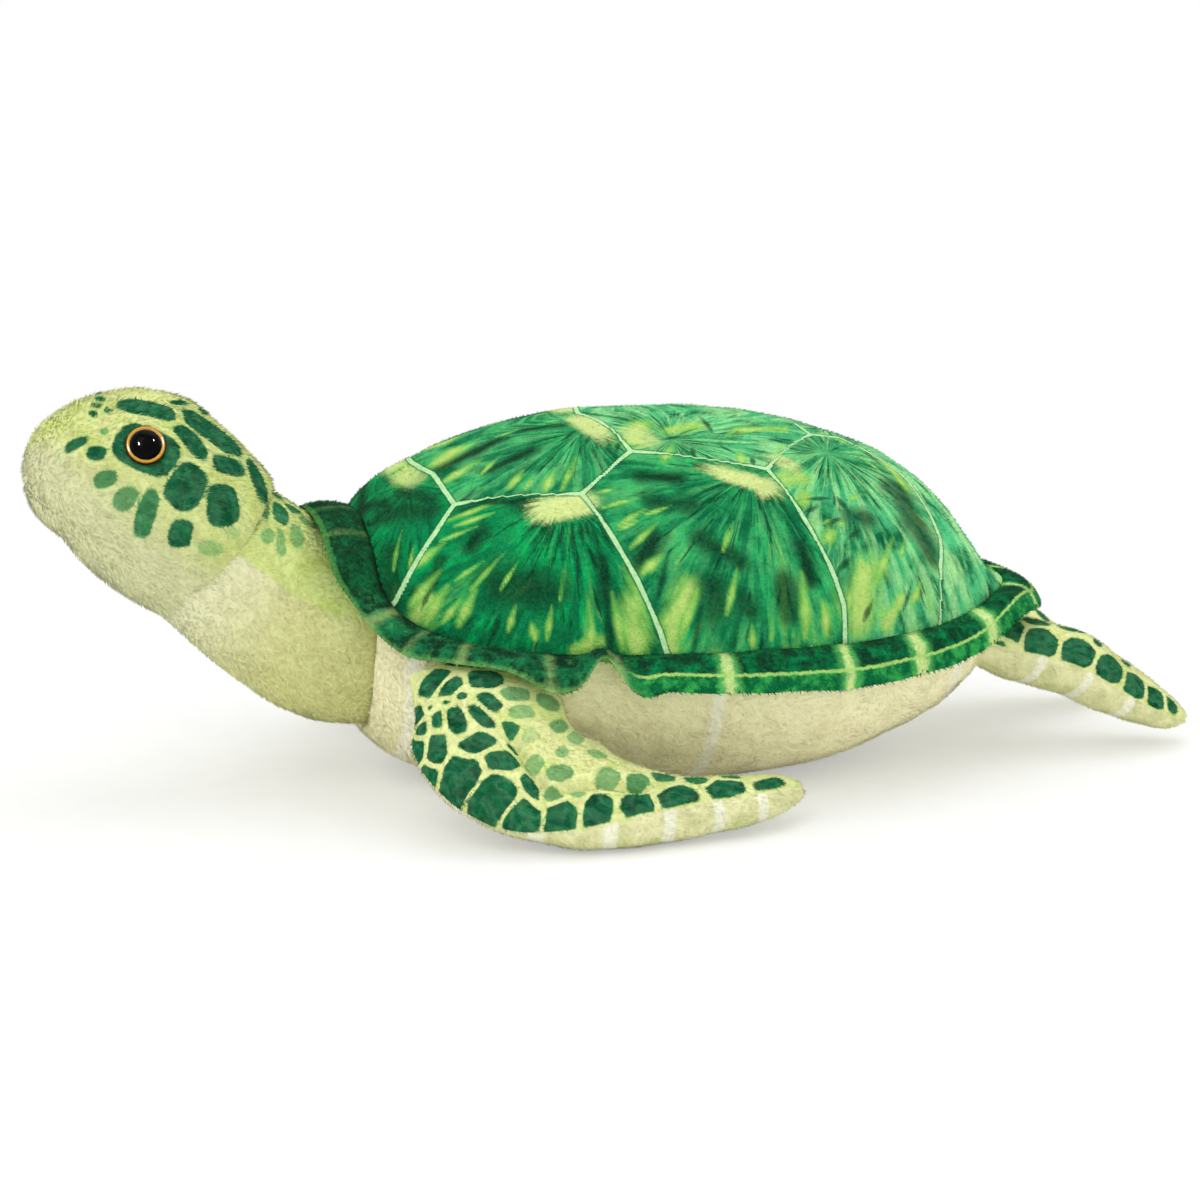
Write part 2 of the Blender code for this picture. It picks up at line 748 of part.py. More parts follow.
def main():
    clear_scene()
    materials = make_materials()
    radius = NECK_RADIUS
    root_width = NECK_SHARES[0][3] * NECK_RADIUS
    backwards = Vector((1.0, 0.0, 0.0))
    cutters = [
        socket_cutter(
            "neck_opening",
            neck_pivot(),
            (backwards, UP, ACROSS),
            (radius, radius, root_width),
            NECK_SOCKET_AROUND,
        )
    ]
    front = (FRONT_LENGTH, FRONT_HALF_WIDTH, FRONT_HALF_THICKNESS)
    rear = (REAR_LENGTH, REAR_HALF_WIDTH, REAR_HALF_THICKNESS)
    for side, mirror in (("left", 1), ("right", -1)):
        hinge = flipper_pivot(FRONT_PIVOT_SHARES, mirror)
        name = f"front_{side}_flipper"
        cutters.append(make_flipper(name, FRONT_SHARES, hinge, front, mirror, materials))
        hinge = flipper_pivot(REAR_PIVOT_SHARES, mirror)
        name = f"rear_{side}_flipper"
        cutters.append(make_flipper(name, REAR_SHARES, hinge, rear, mirror, materials))
    make_torso(materials, cutters)
    make_neck(materials)
    make_head(materials)


main()
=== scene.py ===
"""Dresses a stuffed sea turtle in printed plush. It is laid out as an add-on and run as a script.

Head towards -X, left side towards -Y, floor at Z = 0. Each stuffed form is a smooth skin through
oval sections, with the print kept as fields on its points and the pile as thin closed tufts.
"""

import math

import bpy
import numpy as np
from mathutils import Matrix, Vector, noise


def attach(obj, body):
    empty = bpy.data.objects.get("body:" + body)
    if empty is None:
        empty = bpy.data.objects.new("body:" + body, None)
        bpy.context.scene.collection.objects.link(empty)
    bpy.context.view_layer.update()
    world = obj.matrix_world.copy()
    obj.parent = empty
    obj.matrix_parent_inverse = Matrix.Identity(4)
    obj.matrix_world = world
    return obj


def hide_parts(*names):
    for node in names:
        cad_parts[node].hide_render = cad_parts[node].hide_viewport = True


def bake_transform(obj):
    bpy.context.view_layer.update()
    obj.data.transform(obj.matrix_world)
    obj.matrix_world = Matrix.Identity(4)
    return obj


bl_info = {
    "name": "Plush Sea Turtle",
    "version": (1, 0, 0),
    "blender": (4, 5, 0),
    "location": "3D View > Sidebar > Plush",
    "description": "Builds the skins, pile, eyes and stage of a stuffed sea turtle",
    "category": "Object",
}

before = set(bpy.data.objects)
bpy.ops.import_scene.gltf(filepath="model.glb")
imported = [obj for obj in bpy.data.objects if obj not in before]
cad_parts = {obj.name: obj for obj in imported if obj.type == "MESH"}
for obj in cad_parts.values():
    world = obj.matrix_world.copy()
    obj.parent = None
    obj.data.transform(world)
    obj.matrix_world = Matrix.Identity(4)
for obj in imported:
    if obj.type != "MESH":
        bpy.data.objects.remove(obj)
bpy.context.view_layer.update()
MM = 0.001
FLOOR_CLEARANCE = 0.4 * MM
TUFT_HALF_WIDTH = 0.42 * MM
EYE_STAND = 1.4 * MM
WORLD_LIGHT, KEY_WATTS, TOP_WATTS, SPARK_WATTS = 0.92, 7.5, 9.0, 160.0

# Torso: place along, half width, side seam, ridge and underside
TORSO_FRONT = -0.142
TORSO_LENGTH = 0.330
TORSO_HALF_WIDTH = 0.112
SHELL_HEIGHT = 0.177
TORSO_ROWS = (
    (0.030, 0.400, 0.545, 0.672, 0.200),
    (0.006, 0.430, 0.555, 0.704, 0.165),
    (0.000, 0.480, 0.565, 0.738, 0.136),
    (0.042, 0.607, 0.497, 0.827, 0.071),
    (0.112, 0.768, 0.455, 0.893, 0.028),
    (0.227, 0.902, 0.437, 0.964, -0.006),
    (0.370, 0.973, 0.435, 0.998, -0.012),
    (0.530, 1.000, 0.435, 0.993, -0.012),
    (0.673, 0.946, 0.435, 0.945, 0.014),
    (0.794, 0.830, 0.442, 0.866, 0.082),
    (0.885, 0.660, 0.464, 0.728, 0.164),
    (0.952, 0.446, 0.482, 0.552, 0.254),
    (0.988, 0.232, 0.486, 0.500, 0.340),
    (1.000, 0.000, 0.485, 0.485, 0.485),
)
SHELL_ROUNDNESS = 2.15
BELLY_ROUNDNESS = 2.5

# Neck: run, rise, lean in degrees, half width, height above and below
NECK_START = Vector((-0.150, 0.0, 0.0789))
NECK_REACH = (0.065, 0.040, 0.050, 0.050)
NECK_ROWS = (
    (-0.42, -0.06, 0.0, 0.82, 0.84, 0.84),
    (-0.16, -0.03, 0.0, 0.95, 0.97, 0.97),
    (0.00, 0.00, 0.0, 0.99, 1.00, 1.01),
    (0.20, 0.08, 12.0, 0.97, 0.93, 0.98),
    (0.46, 0.30, 24.0, 0.91, 0.85, 0.89),
    (0.74, 0.65, 33.0, 0.85, 0.82, 0.82),
    (1.00, 1.00, 38.0, 0.80, 0.77, 0.77),
    (1.22, 1.22, 38.0, 0.68, 0.66, 0.66),
)

# Head: the same columns, from the lip over the neck seam to the snout
HEAD_START = Vector((-0.215, 0.0, 0.1189))
HEAD_REACH = (0.0838, 0.0365, 0.0465, 0.0515)
HEAD_ROWS = (
    (0.03, 0.02, 38.0, 0.70, 0.64, 0.58),
    (-0.06, -0.05, 38.0, 0.80, 0.76, 0.69),
    (-0.05, -0.04, 38.0, 0.89, 0.85, 0.77),
    (0.18, 0.37, 32.0, 0.98, 0.96, 0.81),
    (0.36, 0.68, 25.0, 1.00, 1.00, 0.83),
    (0.55, 0.87, 18.0, 0.95, 0.90, 0.74),
    (0.72, 0.95, 12.0, 0.83, 0.75, 0.55),
    (0.87, 0.985, 8.0, 0.64, 0.57, 0.38),
    (0.96, 1.00, 4.0, 0.36, 0.31, 0.23),
    (1.00, 1.00, 0.0, 0.00, 0.00, 0.00),
)

# Flippers: place in X, Y and Z, sweep, dive and roll in degrees, half width and half thickness
FRONT_HINGE = (-0.1001, -0.1010, 0.0559)
FRONT_LENGTH = 0.144
FRONT_HALVES = (0.039, 0.017)
FRONT_ROWS = (
    (0.000, 0.130, 0.080, 90.0, 46.0, 0.0, 0.84, 0.90),
    (0.000, 0.000, 0.000, 90.0, 50.0, 0.0, 0.88, 1.02),
    (0.000, -0.070, -0.083, 83.0, 46.0, 2.0, 0.96, 1.10),
    (0.052, -0.142, -0.160, 68.0, 36.0, 8.0, 1.00, 1.08),
    (0.160, -0.205, -0.219, 47.0, 22.0, 16.0, 0.94, 1.02),
    (0.340, -0.286, -0.264, 23.0, 8.0, 23.0, 0.66, 0.89),
    (0.549, -0.305, -0.284, 7.0, 3.0, 22.0, 0.45, 0.72),
    (0.757, -0.280, -0.284, -2.0, 0.0, 20.0, 0.35, 0.57),
    (0.924, -0.235, -0.276, -9.0, -2.0, 18.0, 0.25, 0.37),
    (0.990, -0.214, -0.276, -12.0, -2.0, 18.0, 0.00, 0.00),
)
REAR_HINGE = (0.1801, -0.0380, 0.0550)
REAR_LENGTH = 0.102
REAR_HALVES = (0.026, 0.0165)
REAR_ROWS = (
    (-0.160, 0.000, 0.060, 0.0, 19.0, 0.0, 0.72, 0.80),
    (0.000, 0.000, 0.000, 0.0, 19.0, 0.0, 0.84, 0.92),
    (0.163, 0.000, -0.044, 1.0, 21.0, 0.0, 0.95, 1.00),
    (0.356, -0.015, -0.102, 4.0, 25.0, 2.0, 1.01, 1.00),
    (0.558, -0.034, -0.218, 5.0, 27.0, 4.0, 0.89, 0.88),
    (0.750, -0.053, -0.322, 5.0, 25.0, 4.0, 0.68, 0.68),
    (0.894, -0.065, -0.392, 5.0, 20.0, 4.0, 0.40, 0.44),
    (0.980, -0.071, -0.418, 5.0, 15.0, 4.0, 0.00, 0.00),
)

# Edge flap, from the middle of the collar round to the tail: share of the way, reach in X, Y and Z,
# crown and thickness, in flap widths
FLAP_WIDTH = 0.021
FLAP_ROWS = (
    (0.000, -1.05, 0.00, 0.06, 0.08, 0.20),
    (0.060, -1.05, -0.20, 0.06, 0.08, 0.20),
    (0.120, -1.00, -0.36, 0.02, 0.08, 0.22),
    (0.190, -0.72, -0.58, -0.12, 0.10, 0.22),
    (0.260, -0.42, -0.78, -0.16, 0.12, 0.24),
    (0.330, -0.16, -0.86, -0.30, 0.12, 0.24),
    (0.400, 0.00, -0.80, -0.50, 0.12, 0.24),
    (0.500, 0.02, -0.60, -0.74, 0.12, 0.24),
    (0.640, 0.08, -0.58, -0.80, 0.12, 0.24),
    (0.780, 0.26, -0.58, -0.70, 0.14, 0.24),
    (0.870, 0.62, -0.54, -0.40, 0.22, 0.24),
    (0.950, 0.94, -0.28, -0.46, 0.14, 0.24),
    (1.000, 1.04, 0.00, -0.54, 0.12, 0.24),
)

# Where the flap ripples: share of the way, spread, and how far its edge moves out and up
FLAP_RIPPLES = (
    (0.050, 0.030, 1.0 * MM, 2.0 * MM),
    (0.150, 0.030, -2.5 * MM, 1.5 * MM),
    (0.215, 0.025, 2.5 * MM, -2.0 * MM),
    (0.290, 0.030, 1.0 * MM, 2.0 * MM),
    (0.338, 0.024, 4.0 * MM, -4.5 * MM),
    (0.383, 0.016, -3.0 * MM, 13.5 * MM),
    (0.418, 0.018, 3.0 * MM, -3.0 * MM),
    (0.640, 0.050, 0.5 * MM, -1.0 * MM),
    (0.860, 0.040, 1.0 * MM, 2.5 * MM),
    (0.930, 0.025, 0.0, -2.5 * MM),
)
# Pale gaps in the flap's print: share of the way and half width
FLAP_GAPS = (
    (0.000, 1.5 * MM),
    (0.070, 1.2 * MM),
    (0.172, 2.5 * MM),
    (0.212, 0.5 * MM),
    (0.258, 1.5 * MM),
    (0.334, 1.5 * MM),
    (0.395, 2.5 * MM),
    (0.505, 2.6 * MM),
    (0.628, 2.2 * MM),
    (0.712, 3.2 * MM),
    (0.810, 3.0 * MM),
    (0.905, 2.6 * MM),
    (1.000, 2.0 * MM),
)

# Lines printed on the left of the carapace, as places along it and across it
ARCH_FRONT = ((0.156, 0.709), (0.126, 0.771), (0.090, 0.854), (0.063, 0.960), (0.053, 1.000))
ARCH_TOP = ((0.156, 0.709), (0.299, 0.741), (0.369, 0.660), (0.520, 0.707), (0.610, 0.571), (0.652, 0.552))
ARCH_BACK = (
    (0.652, 0.552),
    (0.681, 0.588),
    (0.711, 0.643),
    (0.732, 0.731),
    (0.740, 0.809),
    (0.731, 0.875),
    (0.722, 1.000),
)
FLANK_LINES = (
    ((0.299, 0.741), (0.324, 0.824), (0.345, 0.892), (0.367, 0.966), (0.376, 1.000)),
    ((0.520, 0.707), (0.547, 0.800), (0.572, 0.885), (0.584, 0.942), (0.586, 1.000)),
)
RIDGE_LINES = (
    ((0.130, 0.500), (0.134, 0.555), (0.144, 0.600), (0.149, 0.660), (0.156, 0.709)),
    ((0.341, 0.500), (0.352, 0.560), (0.369, 0.660)),
    ((0.599, 0.500), (0.604, 0.545), (0.610, 0.571)),
)
# Where each scute's streaks start, and how light it is. First the ridge from front to back, then the flank.
RIDGE_SCUTES = ((0.107, 0.611, 0.02), (0.325, 0.594, 0.22), (0.420, 0.640, 0.70), (0.652, 0.500, 0.95))
FLANK_SCUTES = ((0.276, 0.745, 0.03), (0.497, 0.722, 0.14), (0.613, 0.640, 0.62))
# Where the print is brighter low on the flank: place along and across, and its spread along
SHELL_GLOWS = (
    (0.599, 0.930, 0.035),
    (0.396, 0.965, 0.035),
    (0.338, 0.975, 0.025),
    (0.517, 0.970, 0.022),
    (0.106, 0.960, 0.030),
)
# Printed patches and spots: place along and across, half length and half width in mm, angle, strength
SHELL_PATCHES = (
    (0.276, 0.762, 15.0, 6.6, 4, 1.0),
    (0.486, 0.730, 16.0, 4.8, -27, 1.0),
    (0.510, 0.748, 6.0, 5.0, 40, 0.9),
    (0.113, 0.556, 13.0, 6.0, -72, 0.6),
    (0.337, 0.568, 19.0, 6.4, -80, 0.9),
    (0.387, 0.622, 11.0, 7.0, -66, 0.6),
    (0.546, 0.690, 7.0, 4.5, -30, 0.7),
)
# Strokes printed on the shell: where each starts, thin, and ends, and its half width in mm
PALE_STROKES = (
    (0.084, 0.744, 0.064, 0.865, 1.7), (0.043, 0.862, 0.025, 0.996, 1.6), (0.096, 0.795, 0.085, 0.865, 1.6),
    (0.026, 0.439, 0.031, 0.127, 1.5), (0.208, 0.730, 0.145, 0.744, 2.1), (0.199, 0.751, 0.151, 0.761, 1.8),
    (0.135, 0.796, 0.089, 0.855, 3.0), (0.177, 0.771, 0.130, 0.791, 1.5), (0.203, 0.830, 0.159, 0.895, 1.7),
    (0.178, 0.840, 0.142, 0.876, 1.5), (0.216, 0.850, 0.193, 0.896, 1.5), (0.125, 0.857, 0.083, 0.950, 3.7),
    (0.132, 0.888, 0.101, 0.981, 4.1), (0.146, 0.915, 0.124, 0.963, 2.5), (0.165, 0.895, 0.143, 0.962, 3.7),
    (0.209, 0.922, 0.199, 0.965, 2.2), (0.225, 0.949, 0.229, 0.976, 2.5), (0.278, 0.805, 0.258, 0.916, 1.7),
    (0.249, 0.923, 0.242, 0.975, 2.1), (0.316, 0.908, 0.325, 0.990, 3.2), (0.292, 0.940, 0.291, 0.989, 2.8),
    (0.300, 0.976, 0.273, 0.986, 3.4), (0.340, 0.736, 0.317, 0.742, 1.5), (0.363, 0.758, 0.318, 0.772, 1.6),
    (0.369, 0.777, 0.332, 0.804, 2.0), (0.377, 0.804, 0.341, 0.843, 2.2), (0.397, 0.776, 0.364, 0.789, 1.5),
    (0.376, 0.858, 0.352, 0.882, 3.4), (0.462, 0.808, 0.444, 0.856, 1.8), (0.459, 0.881, 0.443, 0.947, 2.3),
    (0.411, 0.911, 0.390, 0.973, 3.0), (0.501, 0.846, 0.494, 0.985, 2.5), (0.535, 0.889, 0.536, 0.986, 3.9),
    (0.557, 0.932, 0.563, 0.984, 3.0), (0.472, 0.964, 0.472, 0.996, 2.5), (0.357, 0.799, 0.331, 0.812, 1.5),
    (0.586, 0.822, 0.568, 0.837, 3.4), (0.566, 0.755, 0.548, 0.773, 3.4), (0.635, 0.739, 0.612, 0.757, 1.6),
    (0.661, 0.826, 0.629, 0.906, 3.2), (0.680, 0.822, 0.667, 0.868, 1.6), (0.588, 0.800, 0.570, 0.809, 1.8),
    (0.601, 0.799, 0.590, 0.811, 1.5), (0.693, 0.911, 0.678, 0.948, 3.4), (0.307, 0.656, 0.278, 0.729, 2.5),
    (0.275, 0.683, 0.260, 0.724, 3.2), (0.242, 0.669, 0.222, 0.704, 3.2), (0.254, 0.687, 0.238, 0.716, 1.6),
    (0.201, 0.607, 0.147, 0.643, 4.0), (0.215, 0.530, 0.179, 0.554, 1.8), (0.262, 0.539, 0.231, 0.544, 1.6),
    (0.287, 0.535, 0.313, 0.528, 1.5), (0.225, 0.612, 0.195, 0.652, 1.7), (0.497, 0.664, 0.492, 0.698, 3.7),
    (0.419, 0.652, 0.402, 0.687, 3.4), (0.523, 0.582, 0.488, 0.626, 1.6), (0.466, 0.591, 0.438, 0.609, 2.3),
    (0.590, 0.545, 0.564, 0.594, 2.3), (0.548, 0.656, 0.536, 0.689, 2.3), (0.695, 0.655, 0.706, 0.698, 3.4),
    (0.660, 0.628, 0.676, 0.672, 1.7), (0.660, 0.580, 0.645, 0.561, 2.3),
)
DARK_STROKES = (
    (0.222, 0.808, 0.254, 0.778, 1.5), (0.234, 0.825, 0.260, 0.783, 1.5), (0.242, 0.840, 0.265, 0.788, 1.5),
    (0.253, 0.855, 0.274, 0.793, 1.5), (0.277, 0.855, 0.281, 0.796, 1.5), (0.290, 0.835, 0.289, 0.796, 1.5),
    (0.299, 0.828, 0.296, 0.797, 1.5), (0.312, 0.865, 0.301, 0.796, 1.5), (0.325, 0.855, 0.310, 0.798, 1.5),
    (0.328, 0.840, 0.317, 0.792, 1.5), (0.163, 0.709, 0.224, 0.739, 2.5), (0.309, 0.919, 0.312, 0.992, 3.2),
    (0.309, 0.919, 0.311, 0.859, 2.9), (0.181, 0.983, 0.191, 0.938, 2.3), (0.095, 0.958, 0.110, 0.902, 1.6),
    (0.179, 0.780, 0.165, 0.807, 2.9), (0.383, 0.854, 0.366, 0.920, 2.1), (0.418, 0.911, 0.403, 0.999, 2.5),
    (0.467, 0.866, 0.450, 0.993, 2.8), (0.431, 0.694, 0.454, 0.710, 2.5), (0.447, 0.763, 0.478, 0.728, 1.5),
    (0.473, 0.774, 0.489, 0.732, 1.5), (0.497, 0.791, 0.496, 0.740, 1.5), (0.509, 0.795, 0.501, 0.741, 1.5),
    (0.519, 0.805, 0.506, 0.747, 1.5), (0.463, 0.736, 0.490, 0.726, 1.5), (0.532, 0.808, 0.519, 0.762, 1.5),
    (0.519, 0.769, 0.516, 0.734, 1.5), (0.377, 0.825, 0.350, 0.863, 3.4), (0.369, 0.716, 0.414, 0.726, 2.3),
    (0.537, 0.846, 0.546, 0.902, 3.4), (0.622, 0.936, 0.610, 0.967, 2.1), (0.683, 0.902, 0.663, 0.959, 1.5),
    (0.601, 0.863, 0.580, 0.888, 2.1), (0.595, 0.837, 0.618, 0.815, 1.8), (0.573, 0.774, 0.550, 0.791, 1.5),
    (0.549, 0.767, 0.589, 0.758, 1.5), (0.569, 0.813, 0.595, 0.796, 1.6), (0.610, 0.782, 0.599, 0.756, 2.3),
    (0.669, 0.550, 0.685, 0.637, 1.6), (0.667, 0.600, 0.681, 0.612, 1.5), (0.314, 0.650, 0.332, 0.608, 1.5),
    (0.329, 0.660, 0.340, 0.611, 1.5), (0.346, 0.659, 0.349, 0.620, 1.5), (0.294, 0.622, 0.318, 0.588, 1.5),
    (0.349, 0.667, 0.361, 0.635, 1.5), (0.307, 0.552, 0.260, 0.548, 2.3), (0.154, 0.591, 0.234, 0.559, 2.9),
    (0.207, 0.647, 0.259, 0.620, 2.9), (0.437, 0.687, 0.441, 0.660, 1.6), (0.504, 0.704, 0.508, 0.680, 1.8),
    (0.476, 0.542, 0.475, 0.615, 1.8), (0.486, 0.515, 0.470, 0.531, 1.7), (0.445, 0.628, 0.408, 0.637, 1.6),
    (0.490, 0.670, 0.476, 0.653, 1.5), (0.074, 0.603, 0.033, 0.438, 3.4), (0.568, 0.627, 0.542, 0.629, 1.7),
)
# Soft clouds of ink on the shell, in the same columns
PALE_CLOUDS = (
    (0.337, 0.930, 0.345, 0.978, 8.0), (0.401, 0.908, 0.377, 0.955, 7.0), (0.604, 0.919, 0.605, 0.966, 11.0),
    (0.620, 0.886, 0.593, 0.934, 10.0), (0.395, 0.586, 0.376, 0.632, 8.0), (0.381, 0.966, 0.380, 0.995, 5.0),
    (0.559, 0.717, 0.538, 0.728, 6.0), (0.181, 0.541, 0.158, 0.567, 7.0), (0.013, 0.118, 0.028, 0.041, 5.0),
    (0.116, 0.519, 0.113, 0.568, 8.0), (0.300, 0.978, 0.273, 0.989, 4.0), (0.578, 0.823, 0.573, 0.837, 4.0),
    (0.661, 0.938, 0.639, 0.978, 4.0), (0.557, 0.756, 0.548, 0.773, 4.0), (0.696, 0.624, 0.706, 0.698, 4.0),
    (0.466, 0.591, 0.425, 0.614, 5.0), (0.569, 0.575, 0.512, 0.603, 5.0), (0.109, 0.925, 0.089, 0.969, 5.0),
)
DARK_CLOUDS = (
    (0.227, 0.742, 0.236, 0.750, 6.0), (0.193, 0.887, 0.243, 0.899, 13.0), (0.065, 0.814, 0.063, 0.958, 9.0),
    (0.059, 0.641, 0.126, 0.708, 8.0), (0.428, 0.905, 0.431, 0.941, 9.0), (0.465, 0.928, 0.472, 0.945, 6.0),
    (0.373, 0.765, 0.417, 0.777, 6.0), (0.371, 0.825, 0.350, 0.863, 6.0), (0.513, 0.908, 0.519, 0.952, 7.0),
    (0.369, 0.716, 0.414, 0.726, 5.0), (0.537, 0.846, 0.546, 0.902, 5.0), (0.691, 0.710, 0.698, 0.782, 9.0),
    (0.703, 0.780, 0.719, 0.847, 8.0), (0.678, 0.711, 0.691, 0.718, 6.0), (0.095, 0.611, 0.129, 0.680, 6.0),
    (0.073, 0.612, 0.034, 0.466, 5.0), (0.234, 0.559, 0.154, 0.591, 5.0), (0.259, 0.620, 0.207, 0.647, 5.0),
    (0.306, 0.561, 0.260, 0.548, 4.0), (0.167, 0.808, 0.181, 0.784, 5.0), (0.306, 0.858, 0.309, 0.919, 5.0),
    (0.111, 0.891, 0.127, 0.834, 4.0), (0.609, 0.788, 0.635, 0.792, 6.0), (0.421, 0.836, 0.463, 0.869, 6.0),
)
# Spots printed on the head, the neck and the flippers: place along and turn round the section, half
# length and half width in mm, angle, strength
HEAD_SPOTS = (
    (0.511, 0.328, 14.2, 5.6, -13, 1.0),
    (0.334, 0.318, 17.3, 7.4, 9, 1.0),
    (0.384, 0.370, 10.1, 4.6, -21, 1.0),
    (0.257, 0.358, 9.0, 4.7, 33, 1.0),
    (0.157, 0.335, 10.7, 4.4, -41, 1.0),
    (0.352, 0.438, 10.7, 8.7, 87, 1.0),
    (0.225, 0.425, 9.7, 8.2, -52, 1.0),
    (0.302, 0.499, 6.3, 5.2, -63, 1.0),
    (0.434, 0.503, 10.6, 4.1, -78, 0.75),
    (0.513, 0.492, 6.1, 4.3, 64, 0.65),
    (0.588, 0.470, 5.0, 3.4, 28, 0.7),
    (0.631, 0.424, 4.0, 3.2, -12, 1.0),
    (0.697, 0.400, 5.2, 2.6, 24, 1.0),
    (0.617, 0.381, 1.7, 1.4, -78, 0.6),
    (0.629, 0.279, 4.2, 1.8, -76, 1.0),
    (0.641, 0.306, 2.9, 1.7, -67, 1.0),
    (0.649, 0.330, 2.7, 1.5, -72, 1.0),
    (0.612, 0.329, 2.2, 1.5, -59, 1.0),
    (0.433, 0.290, 4.6, 2.2, 50, 1.0),
    (0.362, 0.265, 6.0, 2.4, 75, 1.0),
    (0.188, 0.492, 5.3, 3.3, 31, 0.35),
    (0.150, 0.451, 3.1, 1.9, 35, 0.25),
    (0.494, 0.411, 14.4, 10.6, -14, 1.0),
)
NECK_SPOTS = (
    (0.713, 0.331, 7.1, 4.3, -79, 0.8),
    (0.788, 0.353, 6.2, 1.9, -71, 0.7),
    (0.731, 0.399, 3.9, 3.1, 67, 0.5),
    (0.674, 0.394, 5.6, 2.1, -55, 0.5),
    (0.603, 0.360, 5.8, 3.2, -65, 0.5),
    (0.816, 0.396, 4.7, 1.5, -62, 0.6),
    (0.640, 0.290, 5.5, 3.6, 30, 0.8),
    (0.760, 0.270, 5.0, 3.4, -40, 0.8),
    (0.560, 0.300, 5.0, 3.6, 10, 0.6),
)
FRONT_SPOTS = (
    (0.051, 0.119, 8.6, 6.0, -48, 1),
    (0.075, 0.155, 6.5, 4.8, -43, 1),
    (0.067, 0.241, 7.6, 6.7, -82, 1),
    (0.008, 0.213, 12.5, 3.4, 70, 1),
    (0.108, 0.180, 2.1, 1.7, 66, 1),
    (0.115, 0.141, 1.8, 1.5, 42, 1),
    (0.131, 0.238, 6.1, 3.4, 41, 1),
    (0.112, 0.298, 6.7, 3.9, 89, 0.6),
    (0.166, 0.298, 5.9, 3.0, 83, 0.5),
    (0.215, 0.257, 4.1, 2.9, 31, 0.8),
    (0.117, 0.089, 3.0, 1.5, 55, 1),
    (0.122, 0.027, 6.0, 5.5, 88, 1),
    (0.151, 0.116, 4.6, 2.4, 5, 1),
    (0.167, 0.163, 6.7, 3.8, 1, 1),
    (0.172, 0.215, 7.5, 2.9, 25, 1),
    (0.159, 0.062, 4.4, 3.0, -5, 1),
    (0.212, 0.088, 7.0, 4.8, -33, 1),
    (0.192, 0.009, 6.4, 5.9, 54, 1),
    (0.233, 0.177, 8.2, 4.4, 77, 1),
    (0.292, 0.183, 7.8, 4.8, 34, 1),
    (0.278, 0.223, 3.3, 1.8, -21, 1),
    (0.333, 0.218, 4.3, 3.7, 57, 0.5),
    (0.348, 0.280, 3.4, 2.5, 66, 0.5),
    (0.389, 0.217, 5.6, 4.5, 42, 0.6),
    (0.491, 0.253, 5.8, 4.6, 64, 0.55),
    (0.248, 0.276, 4.2, 3.4, 81, 0.25),
    (0.242, 0.008, 6.6, 5.2, 22, 1),
    (0.278, 0.067, 12.6, 8.7, -82, 1),
    (0.333, 0.073, 12.0, 9.0, 74, 1),
    (0.384, 0.046, 9.1, 7.6, 58, 1),
    (0.368, 0.153, 7.4, 3.2, -45, 1),
    (0.437, 0.077, 8.4, 6.9, 89, 1),
    (0.493, 0.125, 8.4, 6.0, 81, 1),
    (0.563, 0.158, 7.8, 5.4, 19, 1),
    (0.648, 0.189, 10.0, 5.6, 19, 1),
    (0.406, 0.151, 4.6, 4.4, 59, 0.6),
    (0.448, 0.175, 3.2, 2.3, 21, 0.55),
    (0.765, 0.233, 9.7, 5.3, 10, 1),
    (0.874, 0.230, 8.8, 3.2, 5, 1),
    (0.560, 0.270, 5.0, 4.0, 20, 0.7),
    (0.620, 0.310, 5.0, 4.0, 10, 0.8),
    (0.700, 0.310, 5.2, 3.8, 0, 0.8),
    (0.790, 0.320, 4.6, 3.0, 0, 0.8),
    (0.430, 0.330, 4.0, 3.6, 40, 0.5),
    (0.300, 0.360, 5.0, 3.6, 60, 0.5),
    (0.220, 0.370, 5.4, 3.4, 70, 0.6),
    (0.130, 0.380, 6.0, 3.8, 80, 0.6),
)
REAR_SPOTS = (
    (0.096, 0.135, 8.6, 6.4, 86, 1.0),
    (0.208, 0.090, 9.8, 8.4, 37, 1.0),
    (0.359, 0.092, 9.8, 8.4, 44, 1.0),
    (0.455, 0.200, 4.0, 2.3, 66, 1.0),
    (0.504, 0.095, 9.4, 7.4, 40, 1.0),
    (0.635, 0.098, 8.2, 6.4, 17, 1.0),
    (0.748, 0.100, 7.0, 5.4, 1, 1.0),
    (0.840, 0.110, 5.2, 3.8, -6, 1.0),
    (0.057, 0.030, 4.0, 1.8, 19, 1.0),
    (0.020, 0.060, 2.6, 1.5, 19, 1.0),
    (0.100, 0.250, 3.2, 1.9, 10, 1.0),
    (0.220, 0.225, 7.0, 5.0, 20, 1.0),
    (0.360, 0.240, 7.2, 4.8, 20, 1.0),
    (0.600, 0.215, 3.4, 2.4, 57, 1.0),
    (0.300, 0.360, 5.6, 4.2, 30, 0.9),
    (0.160, 0.370, 5.0, 3.8, 10, 0.9),
    (0.480, 0.330, 5.4, 4.0, -20, 0.9),
    (0.640, 0.300, 4.8, 3.6, 0, 0.9),
    (0.770, 0.290, 3.6, 2.6, 0, 0.9),
)
# Where the seam runs that closes each flipper's front edge: share of the way and turn round the section
FRONT_SEAM = (
    (0.000, 0.000),
    (0.280, -0.030),
    (0.343, -0.050),
    (0.401, -0.006),
    (0.502, 0.071),
    (0.570, 0.110),
    (0.694, 0.155),
    (1.000, 0.165),
)
# The front flipper's fold, between its blade and the lobe behind it
FRONT_FOLD = ((0.238, 0.247), (0.334, 0.206), (0.396, 0.150), (0.480, 0.221), (0.566, 0.235))
REAR_SEAM = ((0.0, 0.000), (0.2, 0.020), (0.6, 0.022), (1.0, 0.008))

